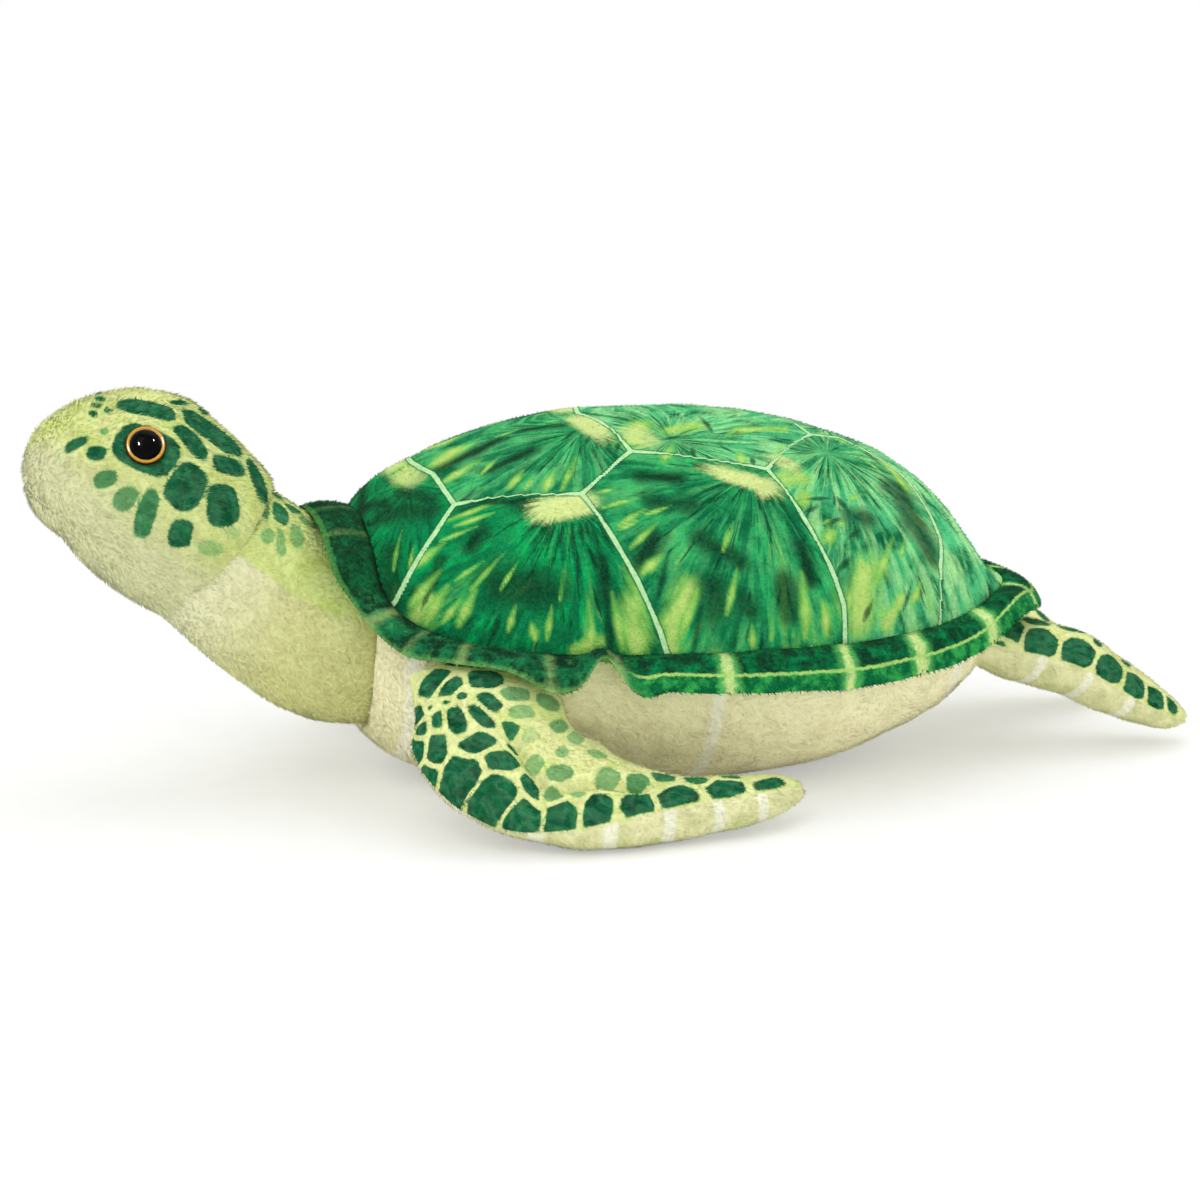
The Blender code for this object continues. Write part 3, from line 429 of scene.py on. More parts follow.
# How far down from the top the head's green reaches: place along the head and turn
HEAD_GREEN_EDGE = (
    (0.00, 0.26),
    (0.20, 0.27),
    (0.50, 0.26),
    (0.70, 0.19),
    (0.85, 0.08),
    (0.95, -0.05),
    (1.00, -0.10),
)

# Pale lines across the belly, as places in X, and under the flippers, as ways along them, all in mm
BELLY_BARS = (-128, 8, 140)
FRONT_BARS = (62, 84, 106, 128, 150, 172)
REAR_BARS = (30, 58, 86)

# The way the pile lies on each form of the left side
SHELL_NAP = (0.7, 0, -0.5)
BELLY_NAP = (0.6, 0, -0.3)
FLAP_NAP = (0.5, 0, -0.7)
NECK_NAP = (0.7, 0, -0.4)
HEAD_NAP = (0.9, 0, -0.35)
FRONT_NAP = (0.8, -0.3, -0.4)
REAR_NAP = (0.9, -0.2, -0.4)
# What the swirls in the pile are drawn from, so that each run gives the same ones
SWIRL_SEED = 5
# A field's value in mm where no print is near
FAR_OUTSIDE = -20.0

# Eyes: where the left one sits, the way it faces, and its profiles from rim to middle as radius and height
EYE_PLACE = Vector((-0.2453, -0.0371, 0.1735))
EYE_FACING = Vector((-0.03, -0.89, 0.46)).normalized()
EYE_RING = (
    (7.2, 0.9),
    (7.5, 1.5),
    (8.1, 1.75),
    (8.7, 1.5),
    (9.15, 0.8),
    (9.2, 0.1),
    (9.0, -0.5),
    (7.0, -0.6),
    (6.9, 0.2),
)
EYE_DOME = (
    (7.45, 0.0),
    (7.4, 0.9),
    (7.1, 2.1),
    (6.4, 3.2),
    (5.2, 4.2),
    (3.7, 4.85),
    (1.9, 5.15),
    (0.6, 5.2),
)

# The photo's camera: a point it looks at, its angles in degrees, its distance and its lens in mm
CAMERA_TARGET = Vector((-0.0181, 0.0058, 0.0803))
CAMERA_AZIMUTH = -15
CAMERA_ELEVATION = 12
CAMERA_DISTANCE = 1.416
CAMERA_LENS = 85
CAMERA_SENSOR = 36
FLOOR_HALF = 4.0


def linear(hex_colour):
    """The linear colour of an sRGB hex value, with its alpha."""
    values = [int(hex_colour[place : place + 2], 16) / 255 for place in (1, 3, 5)]
    return [*(v / 12.92 if v <= 0.04045 else ((v + 0.055) / 1.055) ** 2.4 for v in values), 1.0]


def smooth(rows, places, round_end=0):
    """The rows read at fractional places on a smooth curve through them. At a round end the last
    round_end columns, the sizes, swing through nothing."""
    rows = np.array(rows, float)
    before = 2 * rows[0] - rows[1]
    after = 2 * rows[-1] - rows[-2]
    if round_end:
        after = rows[-2].copy()
        after[-round_end:] *= -1
    padded = np.vstack([before, rows, after])
    index = np.clip(np.floor(places).astype(int), 0, len(rows) - 2)
    t = (places - index)[:, None]
    a, b, c, d = (padded[index + step] for step in range(4))
    first, second = a * (2 * t**2 - t - t**3), b * (2 - 5 * t**2 + 3 * t**3)
    return (first + second + c * (t + 4 * t**2 - 3 * t**3) + d * (t**3 - t**2)) / 2


def even_places(rows, outline, length, round_end=0):
    """Places in the rows that are about the same distance apart along the form's outline."""
    fine = np.linspace(0, len(rows) - 1, 60 * (len(rows) - 1) + 1)
    steps = np.linalg.norm(np.diff(outline(smooth(rows, fine, round_end)), axis=0), axis=1)
    travelled = np.concatenate([[0], np.cumsum(steps)])
    count = max(8, round(travelled[-1] / length))
    return np.interp(np.linspace(0, travelled[-1], count + 1), travelled, fine)


def oval_points(centre, side, up, width, upper, lower, turns, roundness=(2.0, 2.0)):
    """Points round the sections. A turn of 0 is their side, of a quarter their top."""
    across = np.cos(math.tau * turns)[None, :]
    above = np.sin(math.tau * turns)[None, :]
    shape = np.where(above >= 0, roundness[0], roundness[1])
    reach = np.sign(across) * np.abs(across) ** (2 / shape) * width[:, None]
    height = np.where(above >= 0, upper[:, None], lower[:, None])
    rise = np.sign(above) * np.abs(above) ** (2 / shape) * height
    return centre[:, None] + side[:, None] * reach[..., None] + up[:, None] * rise[..., None]


def lumps(points, size, seed):
    """Smooth lumps from -1 to 1 over the points, as filling that packs unevenly gives."""
    shift = Vector((seed * 7.31, seed * 3.17, seed * 5.77))
    flat = [noise.noise(Vector(place) + shift) for place in points.reshape(-1, 3) / size]
    return np.array(flat).reshape(points.shape[:2])


def from_lines(points, lines):
    """Distance of each point from the nearest of some lines, each a row of points."""
    nearest = np.full(points.shape[:2], np.inf)
    for line in lines:
        for start, end in zip(line[:-1], line[1:]):
            run = end - start
            share = np.clip(((points - start) @ run) / (run @ run), 0, 1)
            nearest = np.minimum(nearest, np.linalg.norm(points - start - share[..., None] * run, axis=2))
    return nearest


def in_strokes(points, strokes, taper=0.0):
    """How deep in the nearest of some strokes each point is: 1 in its middle, 0.5 at its rim. A taper
    draws its ends thin."""
    depth = np.full(points.shape[:2], -1.0)
    for start, end, half in strokes:
        run = end - start
        share = np.clip(((points - start) @ run) / (run @ run), 0, 1)
        off = np.linalg.norm(points - start - share[..., None] * run, axis=2)
        depth = np.maximum(depth, 1 - off / half / 2 - taper * np.abs(share - 0.6))
    return depth


def grooved(distance, depth, width):
    """How far a seam's thread pulls the cloth in at a distance from it."""
    return -depth * np.exp(-((distance / width) ** 2))


class Skin:
    """A sewn form as a grid of points. Its fields, which the print is drawn from, go with the points."""

    def __init__(self, points, looped, pointed=True):
        self.points = points
        self.looped = looped
        self.pointed = pointed
        self.fields = {}

    def shares(self):
        """How far along and how far across the grid each point is."""
        rows, columns = self.points.shape[:2]
        last = columns if self.looped else columns - 1
        return np.meshgrid(np.arange(rows) / (rows - 1), np.arange(columns) / last, indexing="ij")

    def tangents(self):
        """Steps along and across the grid at each point, in metres a row and a column."""
        if self.looped:
            across = (np.roll(self.points, -1, axis=1) - np.roll(self.points, 1, axis=1)) / 2
        else:
            across = np.gradient(self.points, axis=1)
        return np.gradient(self.points, axis=0), across

    def normals(self):
        """The way out of the form at each point."""
        along, across = self.tangents()
        normal = np.cross(across, along)
        normal /= np.maximum(np.linalg.norm(normal, axis=2, keepdims=True), 1e-12)
        if self.pointed:
            end = normal[-2].mean(axis=0)
            normal[-1] = end / np.linalg.norm(end)
        inside = self.points.mean(axis=(0, 1))
        return normal if ((self.points - inside) * normal).sum() > 0 else -normal

    def push(self, amount):
        """Moves each point out by its amount, or in where that is negative."""
        self.points = self.points + self.normals() * amount[..., None]

    def rest_on_floor(self):
        """Flattens what would pass through the floor."""
        self.points[..., 2] = np.maximum(self.points[..., 2], FLOOR_CLEARANCE)

    def read(self, grid, rows, columns):
        """A grid's values at fractional rows and columns."""
        count = grid.shape[1]
        row = np.clip(rows.astype(int), 0, grid.shape[0] - 2)
        left = np.floor(columns).astype(int)
        right = (left + 1) % count if self.looped else np.minimum(left + 1, count - 1)
        down, over = rows - row, columns - left
        left = left % count
        if grid.ndim == 3:
            down, over = down[:, None], over[:, None]
        above = grid[row, left] * (1 - over) + grid[row, right] * over
        below = grid[row + 1, left] * (1 - over) + grid[row + 1, right] * over
        return above * (1 - down) + below * down

    def at(self, places):
        """Points of the skin at shares along and across it."""
        rows, columns = self.points.shape[:2]
        last = columns if self.looped else columns - 1
        places = np.array(places, float)
        return self.read(self.points, places[:, 0] * (rows - 1), places[:, 1] * last)

    def printed_spots(self, spots, mirror_turn=None, net=0.0):
        """How far inside a printed spot each point is, in mm, and how strong the ink is there. A mirror
        turn repeats the spots on the other side of the form. A net is left between spots that meet."""
        inside = np.full(self.points.shape[:2], FAR_OUTSIDE)
        second = inside.copy()
        strength = np.zeros(self.points.shape[:2])
        along, _ = self.tangents()
        normal = self.normals()
        rows, columns = self.points.shape[:2]
        last = columns if self.looped else columns - 1
        wobble = lumps(self.points, 6 * MM, 3) * 0.7
        both = list(spots)
        if mirror_turn is not None:
            both += [
                (row, 2 * mirror_turn - turn, long_half, short_half, -angle, ink)
                for row, turn, long_half, short_half, angle, ink in spots
            ]
        for row, turn, long_half, short_half, angle, ink in both:
            place = np.array([row * (rows - 1)]), np.array([turn * last])
            centre, out, ahead = (self.read(grid, *place)[0] for grid in (self.points, normal, along))
            out /= np.linalg.norm(out)
            ahead -= out * (ahead @ out)
            ahead /= np.linalg.norm(ahead)
            beside = np.cross(out, ahead)
            turned = math.radians(angle)
            longways = math.cos(turned) * ahead + math.sin(turned) * beside
            sideways = math.cos(turned) * beside - math.sin(turned) * ahead
            away = (self.points - centre) * 1000
            lengthwise = np.abs(away @ longways / long_half) ** 3
            reach = (lengthwise + np.abs(away @ sideways / short_half) ** 3) ** (1 / 3)
            near = np.abs(away @ out) < long_half + 6
            signed = np.where(near, (1 - reach) * short_half + 0.4 + wobble, FAR_OUTSIDE)
            second = np.maximum(second, np.minimum(signed, inside))
            strength = np.where(signed > inside, ink, strength)
            inside = np.maximum(inside, signed)
        return np.maximum(np.minimum(inside, inside - second - net), FAR_OUTSIDE), strength


def pile_of(skin, nap, length, first_share, spread, seed):
    """Closed three-sided tufts, thinly spread over a skin and lying along the nap, from a share of its
    length on. Returns their corners with normals, where each is rooted, and its shade."""
    random = np.random.default_rng(seed)
    points, normal = skin.points, skin.normals()
    along, across = skin.tangents()
    rows, columns = points.shape[:2]
    wide = columns if skin.looped else columns - 1
    area = np.linalg.norm(np.cross(along, across), axis=2)[:-1, :wide]
    area[: int(first_share * rows)] = 0
    area = np.where(points[:-1, :wide, 2] <= 1.05 * FLOOR_CLEARANCE, 0, area)
    total = np.cumsum(area)
    count = int(total[-1] / settings().tuft_area / spread)
    cell = np.searchsorted(total, (np.arange(count) + random.random(count)) * total[-1] / count)
    cell = np.minimum(cell, len(total) - 1)
    row, column = cell // wide + random.random(count), cell % wide + random.random(count)
    root, out, ahead, beside = (skin.read(grid, row, column) for grid in (points, normal, along, across))
    out /= np.linalg.norm(out, axis=1, keepdims=True)
    noise.seed_set(SWIRL_SEED)
    swirl = np.array([noise.noise_vector(Vector(place)) for place in root / (14 * MM)])
    lay = np.array(nap) + swirl * 1.1 + random.normal(0, 0.22, (count, 3))
    lay -= out * (lay * out).sum(axis=1, keepdims=True)
    lay /= np.maximum(np.linalg.norm(lay, axis=1, keepdims=True), 1e-9)
    over = np.cross(out, lay)
    reach = length * random.uniform(0.75, 1.15, (count, 1))
    half = TUFT_HALF_WIDTH * random.uniform(0.8, 1.25, (count, 1))
    lift = np.radians(random.uniform(14, 34, (count, 1)))
    base = root - out * 0.35 * MM
    corners = np.stack(
        [
            base + over * half,
            base - over * half,
            base + lay * half - out * 0.3 * MM,
            root + lay * reach * np.cos(lift) + out * reach * np.sin(lift),
        ],
        axis=1,
    )
    corners[..., 2] = np.maximum(corners[..., 2], 0.5 * FLOOR_CLEARANCE)
    facing = np.stack([out + over * 0.55, out - over * 0.55, out, out + lay * 0.35], axis=1)
    facing /= np.linalg.norm(facing, axis=2, keepdims=True)
    steps = (corners - root[:, None]) * 0.85
    uv_row = (steps * ahead[:, None]).sum(axis=2) / np.maximum((ahead**2).sum(axis=1), 1e-12)[:, None]
    uv_column = (steps * beside[:, None]).sum(axis=2) / np.maximum((beside**2).sum(axis=1), 1e-12)[:, None]
    share = np.stack([(column[:, None] + uv_column) / wide, (row[:, None] + uv_row) / (rows - 1)], axis=2)
    return corners, facing, row, column, np.clip(share, 0.001, 0.999), random.uniform(-1, 1, count)


def sewn(name, skin, material, nap, first_share=0.0, pile_share=1.0, spread=1.0):
    """One piece of plush: the skin's faces and its pile, with the fields, normals and a map for both."""
    rows, columns = skin.points.shape[:2]
    body = rows - 1 if skin.pointed else rows
    wide = columns if skin.looped else columns - 1
    cells = np.meshgrid(np.arange(body - 1), np.arange(wide), indexing="ij")
    row, column = (grid.ravel() for grid in cells)
    around = ((0, 0), (0, 1), (1, 1), (1, 0))
    corners_of = [(row + down) * columns + (column + right) % columns for down, right in around]
    quads = np.stack(corners_of, axis=1)
    quad_uv = np.stack([np.stack([column + right, row + down], axis=1) for down, right in around], axis=1)
    last = np.arange(wide if skin.pointed else 0)
    tip = body * columns
    ring = tip - columns
    triangles = np.stack([ring + last, ring + (last + 1) % columns, tip + 0 * last], axis=1)
    to_tip = ((0, -1), (1, -1), (0.5, 0))
    corners_at = [np.stack([last + over, body + down + 0 * last], axis=1) for over, down in to_tip]
    triangle_uv = np.stack(corners_at, axis=1)
    points, normals = skin.points, skin.normals()
    if np.cross(points[2, 1] - points[2, 0], points[3, 0] - points[2, 0]) @ normals[2, 0] < 0:
        quads, quad_uv = quads[:, ::-1], quad_uv[:, ::-1]
        triangles, triangle_uv = triangles[:, ::-1], triangle_uv[:, ::-1]
    quad_uv, triangle_uv = (grid / np.array([wide, rows - 1]) for grid in (quad_uv, triangle_uv))

    def flat(grid):
        """A grid's values at the skin's points, with one for a pointed end."""
        values = grid[:body].reshape(-1, *grid.shape[2:])
        return np.concatenate([values, grid[-1].mean(axis=0)[None]]) if skin.pointed else values

    length = settings().pile_length * pile_share
    corners, tuft_normals, tuft_row, tuft_column, tuft_uv, shade = pile_of(
        skin, nap, length, first_share, spread, sum(map(ord, name))
    )
    count = len(corners)
    tuft_faces = np.array([[0, 1, 3], [1, 2, 3], [2, 0, 3], [1, 0, 2]])
    coords = np.concatenate([flat(points), corners.reshape(-1, 3)])
    first = len(coords) - 4 * count
    tufts = first + np.arange(count)[:, None, None] * 4 + tuft_faces
    triangles = np.concatenate([triangles, tufts.reshape(-1, 3)])
    mesh = bpy.data.meshes.new(name)
    mesh.vertices.add(len(coords))
    mesh.vertices.foreach_set("co", coords.astype(np.float32).ravel())
    mesh.loops.add(quads.size + triangles.size)
    used = np.concatenate([quads.ravel(), triangles.ravel()])
    mesh.loops.foreach_set("vertex_index", used.astype(np.int32))
    mesh.polygons.add(len(quads) + len(triangles))
    starts = np.concatenate([np.arange(len(quads)) * 4, quads.size + np.arange(len(triangles)) * 3])
    mesh.polygons.foreach_set("loop_start", starts.astype(np.int32))
    mesh.update(calc_edges=True)
    printed = tuft_uv[..., 1].ravel() * (rows - 1), tuft_uv[..., 0].ravel() * wide
    own = {"shade": np.repeat(shade, 4), "tip": np.tile([0.0, 0.0, 0.0, 1.0], count)}
    fields = {**skin.fields, "shade": np.zeros((rows, columns)), "tip": np.full((rows, columns), 0.35)}
    for key, grid in fields.items():
        at_tufts = own[key] if key in own else skin.read(grid, *printed)
        values = np.concatenate([flat(grid), at_tufts]).astype(np.float32)
        mesh.attributes.new(key, "FLOAT", "POINT").data.foreach_set("value", values)
    roots = np.repeat(skin.read(points, tuft_row, tuft_column), 4, axis=0)
    home = (np.concatenate([flat(points), roots]) / MM).astype(np.float32)
    mesh.attributes.new("home", "FLOAT_VECTOR", "POINT").data.foreach_set("vector", home.ravel())
    uv = np.concatenate([grid.reshape(-1, 2) for grid in (quad_uv, triangle_uv, tuft_uv[:, tuft_faces])])
    mesh.uv_layers.new(name="OFBake").data.foreach_set("uv", uv.astype(np.float32).ravel())
    mesh.shade_smooth()
    mesh.validate()
    facing = np.concatenate([flat(normals), tuft_normals.reshape(-1, 3)])
    mesh.normals_split_custom_set_from_vertices(facing.tolist())
    return piece_of(name, mesh, material)


def piece_of(name, mesh, material):
    """A new piece in the scene, with its material."""
    mesh.materials.append(material)
    piece = bpy.data.objects.new(name, mesh)
    bpy.context.scene.collection.objects.link(piece)
    return piece


def torso_skin(low, high, count, spacing):
    """The torso between two turns, from a lip inside the neck opening to the tail."""

    def outline(values):
        along = values[:, :3] * np.array([TORSO_LENGTH, 0, 0])
        return along + values[:, 2:3] * np.array([0, TORSO_HALF_WIDTH, 0])

    rows = np.array(TORSO_ROWS)[:, [0, 2, 1, 3, 4]]
    rows[:, 3] -= rows[:, 1]
    rows[:, 4] = rows[:, 1] - rows[:, 4]
    places = even_places(rows, outline, spacing, 3)
    place, seam, width, upper, lower = smooth(rows, places, 3).T
    centre = np.stack([TORSO_FRONT + place * TORSO_LENGTH, 0 * place, seam * SHELL_HEIGHT], axis=1)
    side, up = np.tile((0.0, 1.0, 0.0), (len(places), 1)), np.tile((0.0, 0.0, 1.0), (len(places), 1))
    sizes = (width * TORSO_HALF_WIDTH, upper * SHELL_HEIGHT, lower * SHELL_HEIGHT)
    turns = np.linspace(low, high, count)
    points = oval_points(centre, side, up, *sizes, turns, (SHELL_ROUNDNESS, BELLY_ROUNDNESS))
    return Skin(points, looped=False)


def leaning_skin(rows, start, reach, around, spacing, pointed):
    """A neck or head: sections in the middle plane that lean back."""
    run, rise, half_width, half_height = reach
    ends = 3 if pointed else 0
    scale = np.array([run, rise, half_width])
    places = even_places(rows, lambda values: values[:, [0, 1, 3]] * scale, spacing, ends)
    along, above, lean, width, upper, lower = smooth(rows, places, ends).T
    centre = np.stack([start.x - along * run, 0 * along, start.z + above * rise], axis=1)
    lean = np.radians(lean)
    up = np.stack([np.sin(lean), 0 * lean, np.cos(lean)], axis=1)
    side = np.tile((0.0, 1.0, 0.0), (len(places), 1))
    sizes = (width * half_width, upper * half_height, lower * half_height)
    points = oval_points(centre, side, up, *sizes, np.arange(around) / around)
    return Skin(points, looped=True, pointed=pointed)


def flipper_skin(rows, hinge, length, halves, mirror, around, spacing):
    """A flipper from inside its armhole to its tip."""

    def outline(values):
        return np.hstack([values[:, :3] * length, values[:, 6:7] * halves[0]])

    places = even_places(rows, outline, spacing, 2)
    x, y, z, sweep, dive, roll, width, thickness = smooth(rows, places, 2).T
    centre = np.array(hinge) + np.stack([x, y, z], axis=1) * length
    sweep, dive, roll = np.radians(sweep), np.radians(dive), np.radians(roll)
    heading = np.stack([np.cos(sweep) * np.cos(dive), -np.sin(sweep) * np.cos(dive), -np.sin(dive)], axis=1)
    side = np.cross(heading, (0.0, 0.0, 1.0))
    side /= np.linalg.norm(side, axis=1, keepdims=True)
    up = np.cross(side, heading)
    turned_side = side * np.cos(roll)[:, None] - up * np.sin(roll)[:, None]
    turned_up = up * np.cos(roll)[:, None] + side * np.sin(roll)[:, None]
    half = thickness * halves[1]
    turns = np.arange(around) / around
    points = oval_points(centre, turned_side, turned_up, width * halves[0], half, half, turns)
    return Skin(points * np.array((1.0, mirror, 1.0)), looped=True)


def flap_skin(spacing):
    """The flap round the carapace as one padded band: over its top, round its edge and back below.
    Its fields say how far along and out from the seam each point is."""
    torso = torso_skin(0.25, 0.5, 60, spacing)
    start = np.argmin(np.abs(torso.points[:, 0, 0] - TORSO_FRONT))
    root = np.vstack([torso.points[start, :-1], torso.points[start:, -1]])
    travelled = np.concatenate([[0], np.cumsum(np.linalg.norm(np.diff(root, axis=0), axis=1))])
    goal = np.linspace(0, travelled[-1], int(travelled[-1] / spacing) + 1)
    root = np.stack([np.interp(goal, travelled, root[:, axis]) for axis in range(3)], axis=1)
    # The band takes the corner beside the neck in a bend
    over = np.array((1.0, -1.0, 1.0))
    wide = np.vstack([root[8:0:-1] * over, root, root[-2:-10:-1] * over])
    root = np.mean([wide[step : step + len(root)] for step in range(17)], axis=0)
    share = goal / travelled[-1]
    keys = np.array(FLAP_ROWS)[:, 0]
    _, x, y, z, crown, thickness = smooth(FLAP_ROWS, np.interp(share, keys, np.arange(len(keys)))).T
    reach = np.stack([x, y, z], axis=1) * FLAP_WIDTH
    size = np.linalg.norm(reach[:, :2], axis=1, keepdims=True)
    for place, spread, out, up in FLAP_RIPPLES:
        swell = np.exp(-(((share - place) / spread) ** 2))[:, None]
        reach[:, :2] += swell * out * reach[:, :2] / size
        reach[:, 2:] += swell * up
    normal = np.cross(np.gradient(root, axis=0), reach)
    normal /= np.linalg.norm(normal, axis=1, keepdims=True)
    normal *= np.sign(normal[:, 2] + normal[:, 0])[:, None]
    turns = np.arange(32) / 32
    out = np.sin(math.pi * turns) ** 0.8
    lift = np.cos(math.pi * turns) * np.sqrt(1 - 0.92 * out**6)
    crowned = np.sin(math.pi * out) * (crown * FLAP_WIDTH)[:, None]
    height = lift * (thickness * FLAP_WIDTH / 2)[:, None] + crowned
    band = root[:, None] + reach[:, None] * out[None, :, None] + normal[:, None] * height[..., None]
    gap = np.full(len(share), FAR_OUTSIDE)
    for place, half in FLAP_GAPS:
        gap = np.maximum(gap, half * 1000 - np.abs(share - place) * travelled[-1] * 1000)
    across = np.where(turns < 0.5, out, 2 - out)
    other = band[-2:0:-1] * np.array((1.0, -1.0, 1.0))
    skin = Skin(np.vstack([band, other, band[:1]]), looped=True, pointed=False)
    loop = np.concatenate([np.arange(len(band)), np.arange(len(band) - 2, 0, -1), [0]])
    skin.fields["gap"] = np.repeat(gap[loop][:, None], len(turns), axis=1)
    for key, end, fade in (("front", 0.425, 0.03), ("collar", 0.17, 0.04)):
        shown = np.clip((end - share[loop]) / fade, 0, 1)
        skin.fields[key] = np.repeat(shown[:, None], len(turns), axis=1)
    skin.fields["across"] = np.repeat(across[None, :], len(loop), axis=0)
    skin.push(lumps(skin.points, 16 * MM, 8) * 0.8 * MM)
    return skin


def print_scutes(skin):
    """The carapace's fields: distances from the printed lines, and each scute's patch and streaks."""
    row, column = skin.shares()
    fold = 0.5 + np.abs(column - 0.5)

    def left(line):
        return skin.at(line) * 1000

    points = skin.points * 1000
    points[..., 1] = -np.abs(points[..., 1])
    edge_rows = [np.interp(fold, *np.array(line)[:, ::-1].T) for line in (ARCH_FRONT, ARCH_BACK)]
    top = np.interp(row, *np.array(ARCH_TOP).T)
    inside = (fold > top) & (row > edge_rows[0]) & (row < edge_rows[1])
    arch = from_lines(points, [left(line) for line in (ARCH_FRONT, ARCH_TOP, ARCH_BACK)])
    skin.fields["arch_line"] = np.where(inside, -arch, arch)
    order = {}
    for key, lines, shown in (("flank_line", FLANK_LINES, inside), ("ridge_line", RIDGE_LINES, ~inside)):
        passed = sum((row > np.interp(fold, *np.array(line)[:, ::-1].T)).astype(int) for line in lines)
        distance = from_lines(points, [left(line) for line in lines])
        skin.fields[key] = np.where(shown, distance * (1 - 2 * (passed % 2)), distance)
        order[key] = passed
    scute = np.where(inside, len(RIDGE_SCUTES) + order["flank_line"], order["ridge_line"])
    scutes = np.array(RIDGE_SCUTES + FLANK_SCUTES)
    start = left(scutes[:, :2])[scute]
    start_fold = scutes[:, 1][scute]
    back = points[..., 0] - start[..., 0]
    reach = np.linalg.norm(points - start, axis=2)
    down = np.sqrt(np.maximum(reach**2 - back**2, 0)) * np.sign(fold - start_fold)
    skin.fields["ray"] = np.arctan2(back, down)
    skin.fields["reach"] = reach
    skin.fields["scute"] = scute.astype(float)
    skin.fields["light"] = scutes[:, 2][scute]
    glow = sum(
        np.exp(-(((row - at) / spread) ** 2) - ((fold - high) / 0.07) ** 2)
        for at, high, spread in SHELL_GLOWS
    )
    skin.fields["low"] = np.clip((fold - 0.80) / 0.25, 0, 0.7) + 0.9 * np.minimum(glow, 1)
    skin.fields["patch"], skin.fields["patch_ink"] = skin.printed_spots(SHELL_PATCHES, 0.5, -99.0)
    for key, table, taper in (
        ("pale_stroke", PALE_STROKES, 0.6),
        ("dark_stroke", DARK_STROKES, 0.6),
        ("pale_cloud", PALE_CLOUDS, 0.0),
        ("dark_cloud", DARK_CLOUDS, 0.0),
    ):
        ends = np.array(table)
        skin.fields[key] = in_strokes(points, zip(left(ends[:, :2]), left(ends[:, 2:4]), ends[:, 4]), taper)


# Colours of the print, as sRGB hex values
DEEP_GREEN, DARK_GREEN, SHELL_GREEN, MID_GREEN = "#01301b", "#024f30", "#017a46", "#0ea156"
LIME, PATCH_YELLOW, LINE_GREEN, MINT = "#78b956", "#c6d48c", "#b0d8a2", "#a6dc98"


class PlushSettings(bpy.types.PropertyGroup):
    """Sizes of the pile and the skins."""

    spacing: bpy.props.FloatProperty(
        name="Skin spacing",
        description="Distance between the points of the skins",
        default=2.0 * MM,
        min=1.0 * MM,
        unit="LENGTH",
    )
    pile_length: bpy.props.FloatProperty(
        name="Pile length", description="Length of a tuft of pile", default=3.6 * MM, unit="LENGTH"
    )
    tuft_area: bpy.props.FloatProperty(
        name="Area of a tuft",
        description="Area of skin that one tuft covers, which sets how close the tufts stand",
        default=2.6 * MM * MM,
        precision=9,
        unit="AREA",
    )


class PlushColours(bpy.types.PropertyGroup):
    """Colours of the cloth, the print and the eyes."""

    cream: bpy.props.FloatVectorProperty(
        name="Cream",
        description="Belly, throat and chin plush",
        subtype="COLOR",
        size=4,
        default=linear("#f2ecc2"),
    )
    leaf: bpy.props.FloatVectorProperty(
        name="Yellow-green",
        description="Ground of the spotted plush",
        subtype="COLOR",
        size=4,
        default=linear("#d3da94"),
    )
    ink: bpy.props.FloatVectorProperty(
        name="Spot ink",
        description="Printed spots",
        subtype="COLOR",
        size=4,
        default=linear("#17593a"),
    )
    shell: bpy.props.FloatVectorProperty(
        name="Shell green",
        description="Ground of the carapace",
        subtype="COLOR",
        size=4,
        default=linear(SHELL_GREEN),
    )
    amber: bpy.props.FloatVectorProperty(
        name="Eye amber",
        description="Ring of the eyes",
        subtype="COLOR",
        size=4,
        default=linear("#dda02a"),
    )


def settings():
    """The sizes that the user may change."""
    return bpy.context.scene.plush_settings


def colours():
    """The colours that the user may change."""
    return bpy.context.scene.plush_colours


def node(tree, kind, sockets=None, out=0, **values):
    """Adds a node with its settings and its sockets' values or links, and returns an output."""
    made = tree.nodes.new("ShaderNode" + kind)
    for key, value in values.items():
        setattr(made, key, value)
    for key, value in (sockets or {}).items():
        if isinstance(value, bpy.types.NodeSocket):
            tree.links.new(value, made.inputs[key])
        else:
            made.inputs[key].default_value = linear(value) if isinstance(value, str) else value
    return made.outputs[out]


def inked(tree, ground, ink, where, low=0.0, high=1.0, amount=1.0, times=None):
    """Ink laid over a ground: none where a value is low, rising to the amount where it is high. Another
    value may hold it back."""
    cover = node(tree, "MapRange", {0: where, 1: low, 2: high, 4: amount}, interpolation_type="SMOOTHSTEP")
    if times:
        cover = node(tree, "Math", {0: cover, 1: times}, operation="MULTIPLY")
    return node(tree, "Mix", {0: cover, 6: ground, 7: ink}, out=2, data_type="RGBA")


def mottle(tree, size_mm, detail=2.0, vector=None):
    """Noise over the cloth whose lumps are about a size in mm."""
    place = vector or node(tree, "Attribute", out="Vector", attribute_name="home")
    return node(tree, "TexNoise", {"Vector": place, "Scale": 1 / size_mm, "Detail": detail, "Roughness": 0.6})


def field(tree, name, jag_mm=0.0, grain_mm=1.6):
    """A printed field, its rims jagged by the fibres' ends."""
    value = node(tree, "Attribute", out="Fac", attribute_name=name)
    if not jag_mm:
        return value
    jagged = node(tree, "Math", {0: mottle(tree, grain_mm), 1: -0.5}, operation="ADD")
    return node(tree, "Math", {0: jagged, 1: 2 * jag_mm, 2: value}, operation="MULTIPLY_ADD")


